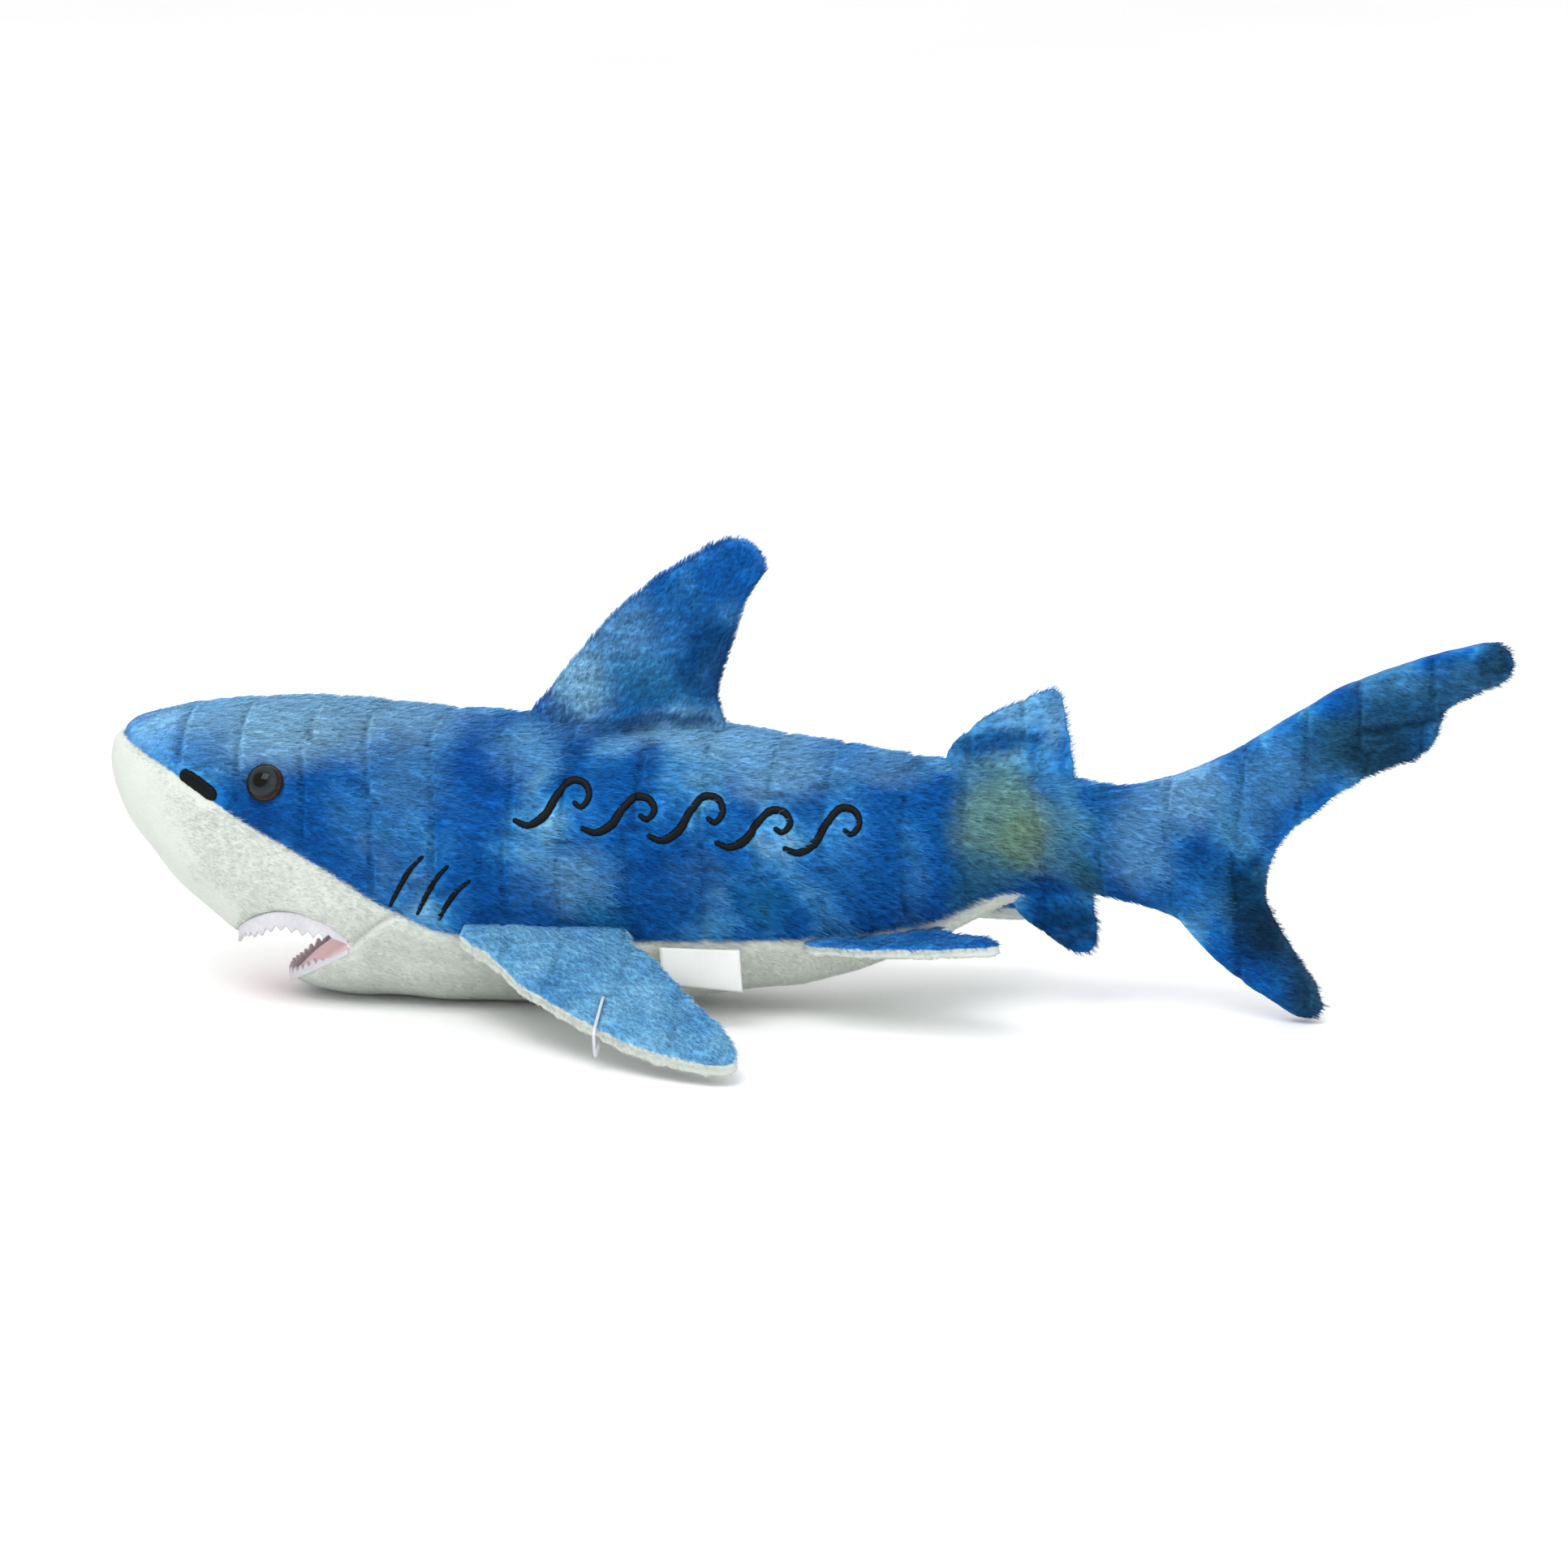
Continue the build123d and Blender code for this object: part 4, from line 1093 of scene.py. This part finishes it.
def fin_piece(name, shape, above, nodes, ground, pile, along, length=3.0, per_mm2=0.36):
    """One fin with its pile, from its shape and each point's height above the colour seam."""
    p, f, n, _, mark = shape
    obj, used = split(name, p, f, n, np.ones(len(f), bool), np.column_stack([p, above, mark]))
    obj.data.materials.append(ground)
    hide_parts(*nodes)
    long = np.where(above > 0, 1.0, 0.45) * (1 - 0.6 * mark)
    grow(obj, (np.ones(len(p)), long, np.where(above > 0, 1.0, 0.1)), pile, per_mm2, length, along)
    return obj


def mirror_shape(shape):
    p, f, n, lift, mark = shape
    flip = np.array([1, -1, 1])
    return p * flip, f[:, ::-1], n * flip, lift, mark


UPRIGHT = ((0, 0, 0), (1, 0, 0), (0, 0, 1), (0, 1, 0))
PANELS = ("left_panel", "right_panel")
ALL_BLUE = 25.0  # a height above the colour seam, for a fin with no white on it


def upright_fin(name, prefix, parts, shape, along):
    nodes = [f"{prefix}_{part}" for part in parts]
    above = np.full(len(shape[0]), ALL_BLUE)
    piece = fin_piece(name, shape, above, nodes, BODY_SKIN, BODY_PILE, along, 2.8)
    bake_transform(piece)


shape = fin_shape(DORSAL, DORSAL_HALF, UPRIGHT, 2.2, 2.0, 0.35, scale_marks)
upright_fin(
    "dorsal_fin", "dorsal_fin", PANELS + ("stuffing",), shape, (0.55, 0, 0.8),
)
shape = fin_shape(SECOND_DORSAL, FLAT_HALF, UPRIGHT, 1.3, 0.8, 0.2)
upright_fin(
    "second_dorsal_fin", "second_dorsal", PANELS, shape, (0.8, 0, 0.5),
)
shape = fin_shape(ANAL, FLAT_HALF, UPRIGHT, 1.3, 0.8, 0.2)
upright_fin(
    "anal_fin", "anal_fin", PANELS, shape, (0.8, 0, -0.5),
)


def fin_frame(origin, run, droop):
    """Origin, direction along the hinge line, direction out from it, and up, for a fin of the left side."""
    run = Vector(run).normalized()
    side = run.cross(Vector((0, 0, 1))).normalized()
    if side.y > 0:
        side = -side
    level = run.cross(side)
    level = level if level.z > 0 else -level
    angle = math.radians(droop)
    out = side * math.cos(angle) - level * math.sin(angle)
    up = level * math.cos(angle) + side * math.sin(angle)
    return tuple(origin), tuple(run), tuple(out), tuple(up)


def paired(kind, runs, half, frames, voxel, cap, ground, pile, seam_up, length):
    """The left and right fins of a pair, each built on the left of the toy from its frame, then mirrored."""
    for side, word in SIDES:
        shape = fin_shape(runs, half, frames[side], voxel, cap, 0.3)
        origin, run, out, up = (np.array(v) for v in frames[side])
        flip = np.array([1, -side, 1])
        this = shape if side < 0 else mirror_shape(shape)
        name = f"{word}_{kind}_fin"
        nodes = [f"{word}_{kind}_{part}" for part in ("top_panel", "bottom_panel", "stuffing")]
        along = (out * 0.75 + run * 0.65) * flip
        piece = fin_piece(name, this, shape[3] - seam_up, nodes, ground, pile, tuple(along), length)
        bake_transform(piece)


pectoral_frame = fin_frame((0, -PECTORAL_HINGE[0], PECTORAL_HINGE[1]), (1, 0, 0), PECTORAL_DROOP)
pectoral_frames = {-1: pectoral_frame, 1: pectoral_frame}
paired("pectoral", PECTORAL, PECTORAL_HALF, pectoral_frames, 2.0, 1.8, FIN_SKIN, FIN_PILE, 2.4, 2.4)
pelvic_front = (PELVIC_FRONT[0], -PELVIC_FRONT[1], PELVIC_FRONT[2])
pelvic_run = [b - a for a, b in zip(pelvic_front, (PELVIC_BACK[0], -PELVIC_BACK[1], PELVIC_BACK[2]))]
pelvic_frames = {side: fin_frame(pelvic_front, pelvic_run, droop) for side, droop in PELVIC_DROOP.items()}
paired("pelvic", PELVIC, PELVIC_HALF, pelvic_frames, 1.8, 1.2, PELVIC_SKIN, PELVIC_PILE, 1.4, 2.4)


# ---- Teeth ----
TOOTH_PITCH = 3.6


def rim(xs, heights, halves, edge=1.3):
    """A path just inside a lip, from the left corner of the mouth round its front to the right corner."""
    inside = np.clip(halves - edge, 0, None)
    keep = inside > 2
    left = np.column_stack([xs, -inside, heights])[keep]
    front = np.array([[xs[~keep][0] if (~keep).any() else xs[-1], 0, heights[keep][-1]]])
    front[0, 0] = min(front[0, 0], left[-1, 0] - 0.4)
    return through(np.concatenate([left, front, left[::-1] * (1, -1, 1)]), TOOTH_PITCH / 10)


def tooth_strip(name, path, span, body, node_name):
    """A felt strip with a toothed edge along a path. span gives its two edges, up from the path."""
    run = np.concatenate([[0], np.cumsum(np.linalg.norm(np.diff(path, axis=0), axis=1))])
    from_corner = np.minimum(run, run[-1] - run)
    size = 1 + 0.1 * np.sin(run * 0.37 + 2)
    tooth = np.abs((run / TOOTH_PITCH) % 1 * 2 - 1)
    rows = 6
    low, high = span(from_corner, tooth, size)
    verts = [
        p + np.array([0, 0, low[i] + (high[i] - low[i]) * k / rows])
        for i, p in enumerate(path)
        for k in range(rows + 1)
    ]
    obj = make_mesh(name, verts, grid_faces(len(path), rows + 1))
    thick = obj.modifiers.new("thick", "SOLIDIFY")
    thick.thickness, thick.offset = 0.9 * MM, 0.0
    apply_modifiers(obj)
    smooth(obj)
    obj.data.materials.append(TOOTH_FELT)
    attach(obj, body)
    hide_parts(node_name)
    return obj


def upper_span(from_corner, tooth, size):
    """The upper strip hangs from its lip, shallow at the corners, its teeth downwards."""
    hang = 1.0 + (4.4 * smoothstep(0, 13, from_corner) - 1.8 * smoothstep(30, 44, from_corner)) * size
    return 1.2 + 0 * tooth, -hang + 2.0 * tooth * smoothstep(3, 10, from_corner)


def lower_span(from_corner, tooth, size):
    """The lower strip stands on the jaw's edge, its teeth upwards, lower towards the corners."""
    return -1.4 + 0 * tooth, 0.4 + 2.4 * (1 - tooth) * smoothstep(6, 18, from_corner) * size


lip_x = np.linspace(-141.0, -179.5, 60)
LIP = np.array(UPPER_LIP[::-1])
lip_z = hermite(LIP[:, 0], LIP[:, 1], lip_x)
upper_rim = rim(lip_x, lip_z, section_half(lip_x, lip_z))
tooth_strip("upper_tooth_strip", upper_rim, upper_span, "torso", "upper_teeth")
jaw_x = np.linspace(-141.0, JAW_HINGE[0] - JAW_PLAN[0] + 0.3, 50)
jaw_z = lower_lip_height(jaw_x)
jaw_reach = JAW_PLAN[1] * np.sqrt(1 - ((jaw_x - JAW_HINGE[0]) / JAW_PLAN[0]) ** 2)
jaw_half = np.minimum(section_half(jaw_x, jaw_z), jaw_reach)
tooth_strip("lower_tooth_strip", rim(jaw_x, jaw_z, jaw_half, 1.6), lower_span, "jaw", "lower_teeth")


# ---- Care label ----
LABEL_WIDE, LABEL_LONG = 25.0, 26.0  # a ribbon folded in half
LABEL_AT = (-42.0, -36.2, 25.6)  # its front corner in the seam


def ribbon_material():
    material, tree, shader = new_material("ribbon")
    place = node(tree, "TexCoord").outputs["Object"]
    inputs = {"Vector": place, "Scale": 900.0, "Distortion": 0.4}
    weave = node(tree, "TexWave", inputs, wave_type="BANDS", bands_direction="X").outputs[1]
    tone = noise(tree, place, 70.0)
    both = math_node(tree, "MULTIPLY_ADD", weave, 0.3, math_node(tree, "MULTIPLY", tone, 0.7))
    colour = ramp(tree, both, [(0.2, srgb(206, 209, 208)), (0.8, srgb(226, 229, 227))])
    dress_shader(tree, shader, colour, {"Roughness": 0.45}, (weave, 0.2, 0.0002))
    return material


def label_point(u, v):
    """A point of the folded ribbon: u across, v from one end round the fold to the other, both 0 to 1."""
    fold = 1 - abs(2 * v - 1)
    drop_by = LABEL_LONG / 2 * fold * (0.985 - 0.11 * (1 - u))
    layer = 0.55 * math.tanh((v - 0.5) * 9)
    bow = 0.9 * math.sin(math.pi * fold * 0.7) + 1.5 * fold * fold * (u - 0.4)
    out = LABEL_AT[1] - bow + layer - 0.3 * math.sin(math.pi * u)
    return (LABEL_AT[0] + LABEL_WIDE * u + 1.2 * fold, out, LABEL_AT[2] - drop_by)


across, down = 20, 40
grid = [label_point(i / across, j / down) for j in range(down + 1) for i in range(across + 1)]
label = make_mesh("care_label_ribbon", grid, grid_faces(down + 1, across + 1))
thin = label.modifiers.new("thin", "SOLIDIFY")
thin.thickness, thin.offset = 0.25 * MM, 0.0
smooth(label)
label.data.materials.append(ribbon_material())
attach(label, "care_label")
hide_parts("care_label")


# ---- Eyes and tag pin: CAD shapes with finished materials ----
def eye_material(side, word):
    """A dark iris with a black pupil and a brown rim, under a clear polished dome."""
    material, tree, shader = new_material(f"eye_{word}")
    place = node(tree, "TexCoord").outputs["Object"]
    middle = tuple(v * MM for v in (EYE_AT[0], side * EYE_AT[1], EYE_AT[2]))
    facing = tuple(Vector((EYE_FACING[0], side * EYE_FACING[1], EYE_FACING[2])).normalized())
    away = vector_math(tree, "SUBTRACT", place, middle).outputs[0]
    cross = vector_math(tree, "CROSS_PRODUCT", away, facing).outputs[0]
    radial = vector_math(tree, "LENGTH", cross).outputs["Value"]
    speckle = math_node(tree, "SUBTRACT", noise(tree, place, 700.0, 3.0), 0.5)
    fleck = math_node(tree, "MULTIPLY", speckle, 0.05)
    at = math_node(tree, "ADD", math_node(tree, "DIVIDE", radial, 6.2 * MM), fleck)
    stops = [
        (0.0, srgb(2, 2, 2)),
        (0.36, srgb(2, 2, 3)),
        (0.42, srgb(26, 34, 37)),
        (0.72, srgb(40, 47, 49)),
        (0.84, srgb(16, 13, 12)),
        (0.92, srgb(54, 33, 22)),
        (0.98, srgb(20, 14, 12)),
    ]
    polish = {"Roughness": 0.4, "Specular IOR Level": 0.0, "Coat Weight": 0.35, "Coat Roughness": 0.03}
    dress_shader(tree, shader, ramp(tree, at, stops), polish)
    return material


def plastic_material(name, low, high, roughness, clear=0.0):
    material, tree, shader = new_material(name)
    place = node(tree, "TexCoord").outputs["Object"]
    grain = noise(tree, place, 500.0, 3.0)
    colour = ramp(tree, grain, [(0.3, srgb(*low)), (0.7, srgb(*high))])
    dress_shader(tree, shader, colour, {"Roughness": roughness, "Transmission Weight": clear})
    return material


def dress(node_name, material):
    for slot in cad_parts[node_name].material_slots:
        slot.material = material


EYE_BACK = plastic_material("eye_back", (20, 20, 21), (34, 34, 36), 0.5)
for side, word in SIDES:
    dress(f"{word}_eye_dome", eye_material(side, word))
    dress(f"{word}_eye_shank", EYE_BACK)
    dress(f"{word}_eye_washer", EYE_BACK)
dress("tag_pin", plastic_material("nylon", (214, 222, 230), (236, 240, 244), 0.3, 0.35))


# ---- Floor, light and camera ----
def stage_material():
    material, tree, shader = new_material("pale_floor")
    place = node(tree, "TexCoord").outputs["Object"]
    grain = noise(tree, place, 3.0, 2.0)
    colour = ramp(tree, grain, [(0.3, srgb(250, 250, 250)), (0.7, srgb(253, 253, 253))])
    dress_shader(tree, shader, colour, {"Roughness": 0.7})
    return material


FLOOR_REACH = 9000
corners = [(x * FLOOR_REACH, y * FLOOR_REACH, 0) for x, y in ((-1, -1), (1, -1), (1, 1), (-1, 1))]
floor = make_mesh("floor", corners, [(0, 1, 2, 3)])
floor.data.materials.append(stage_material())


def area_light(name, place, aim, size, power):
    light = bpy.data.lights.new(name, "AREA")
    light.size, light.energy = size, power
    obj = add_object(name, light)
    obj.location = place
    obj.rotation_euler = (Vector(aim) - Vector(place)).to_track_quat("-Z", "Y").to_euler()


area_light("key", (-0.25, -0.95, 1.5), (0, 0, 0.05), 1.0, 15)
area_light("fill", (1.1, -1.2, 0.9), (0, 0, 0.05), 1.2, 4)
area_light("back", (0.2, 1.4, 1.2), (0, 0, 0.05), 1.2, 5)

world = bpy.data.worlds.new("studio")
world.use_nodes = True
sky = world.node_tree.nodes["Background"].inputs
sky["Color"].default_value = (1, 1, 1, 1)
sky["Strength"].default_value = 1.0
bpy.context.scene.world = world
bpy.context.scene.view_settings.view_transform = "Standard"

AZIMUTH, ELEVATION, DISTANCE, FRAME_WIDTH, SENSOR = math.radians(8), math.radians(12.5), 2.3, 493.6, 36
level = math.cos(ELEVATION)
back = Vector((math.sin(AZIMUTH) * level, -math.cos(AZIMUTH) * level, math.sin(ELEVATION)))
right = Vector((math.cos(AZIMUTH), math.sin(AZIMUTH), 0))
up = back.cross(right)
aim = (right * -8.05 + up * 69.3) * MM
lens = bpy.data.cameras.new("camera")
lens.sensor_width = SENSOR
lens.lens = SENSOR * DISTANCE / (FRAME_WIDTH * MM)
camera = add_object("camera", lens)
camera.location = aim + back * DISTANCE
camera.rotation_euler = back.to_track_quat("Z", "Y").to_euler()
bpy.context.scene.camera = camera

drop(skin)
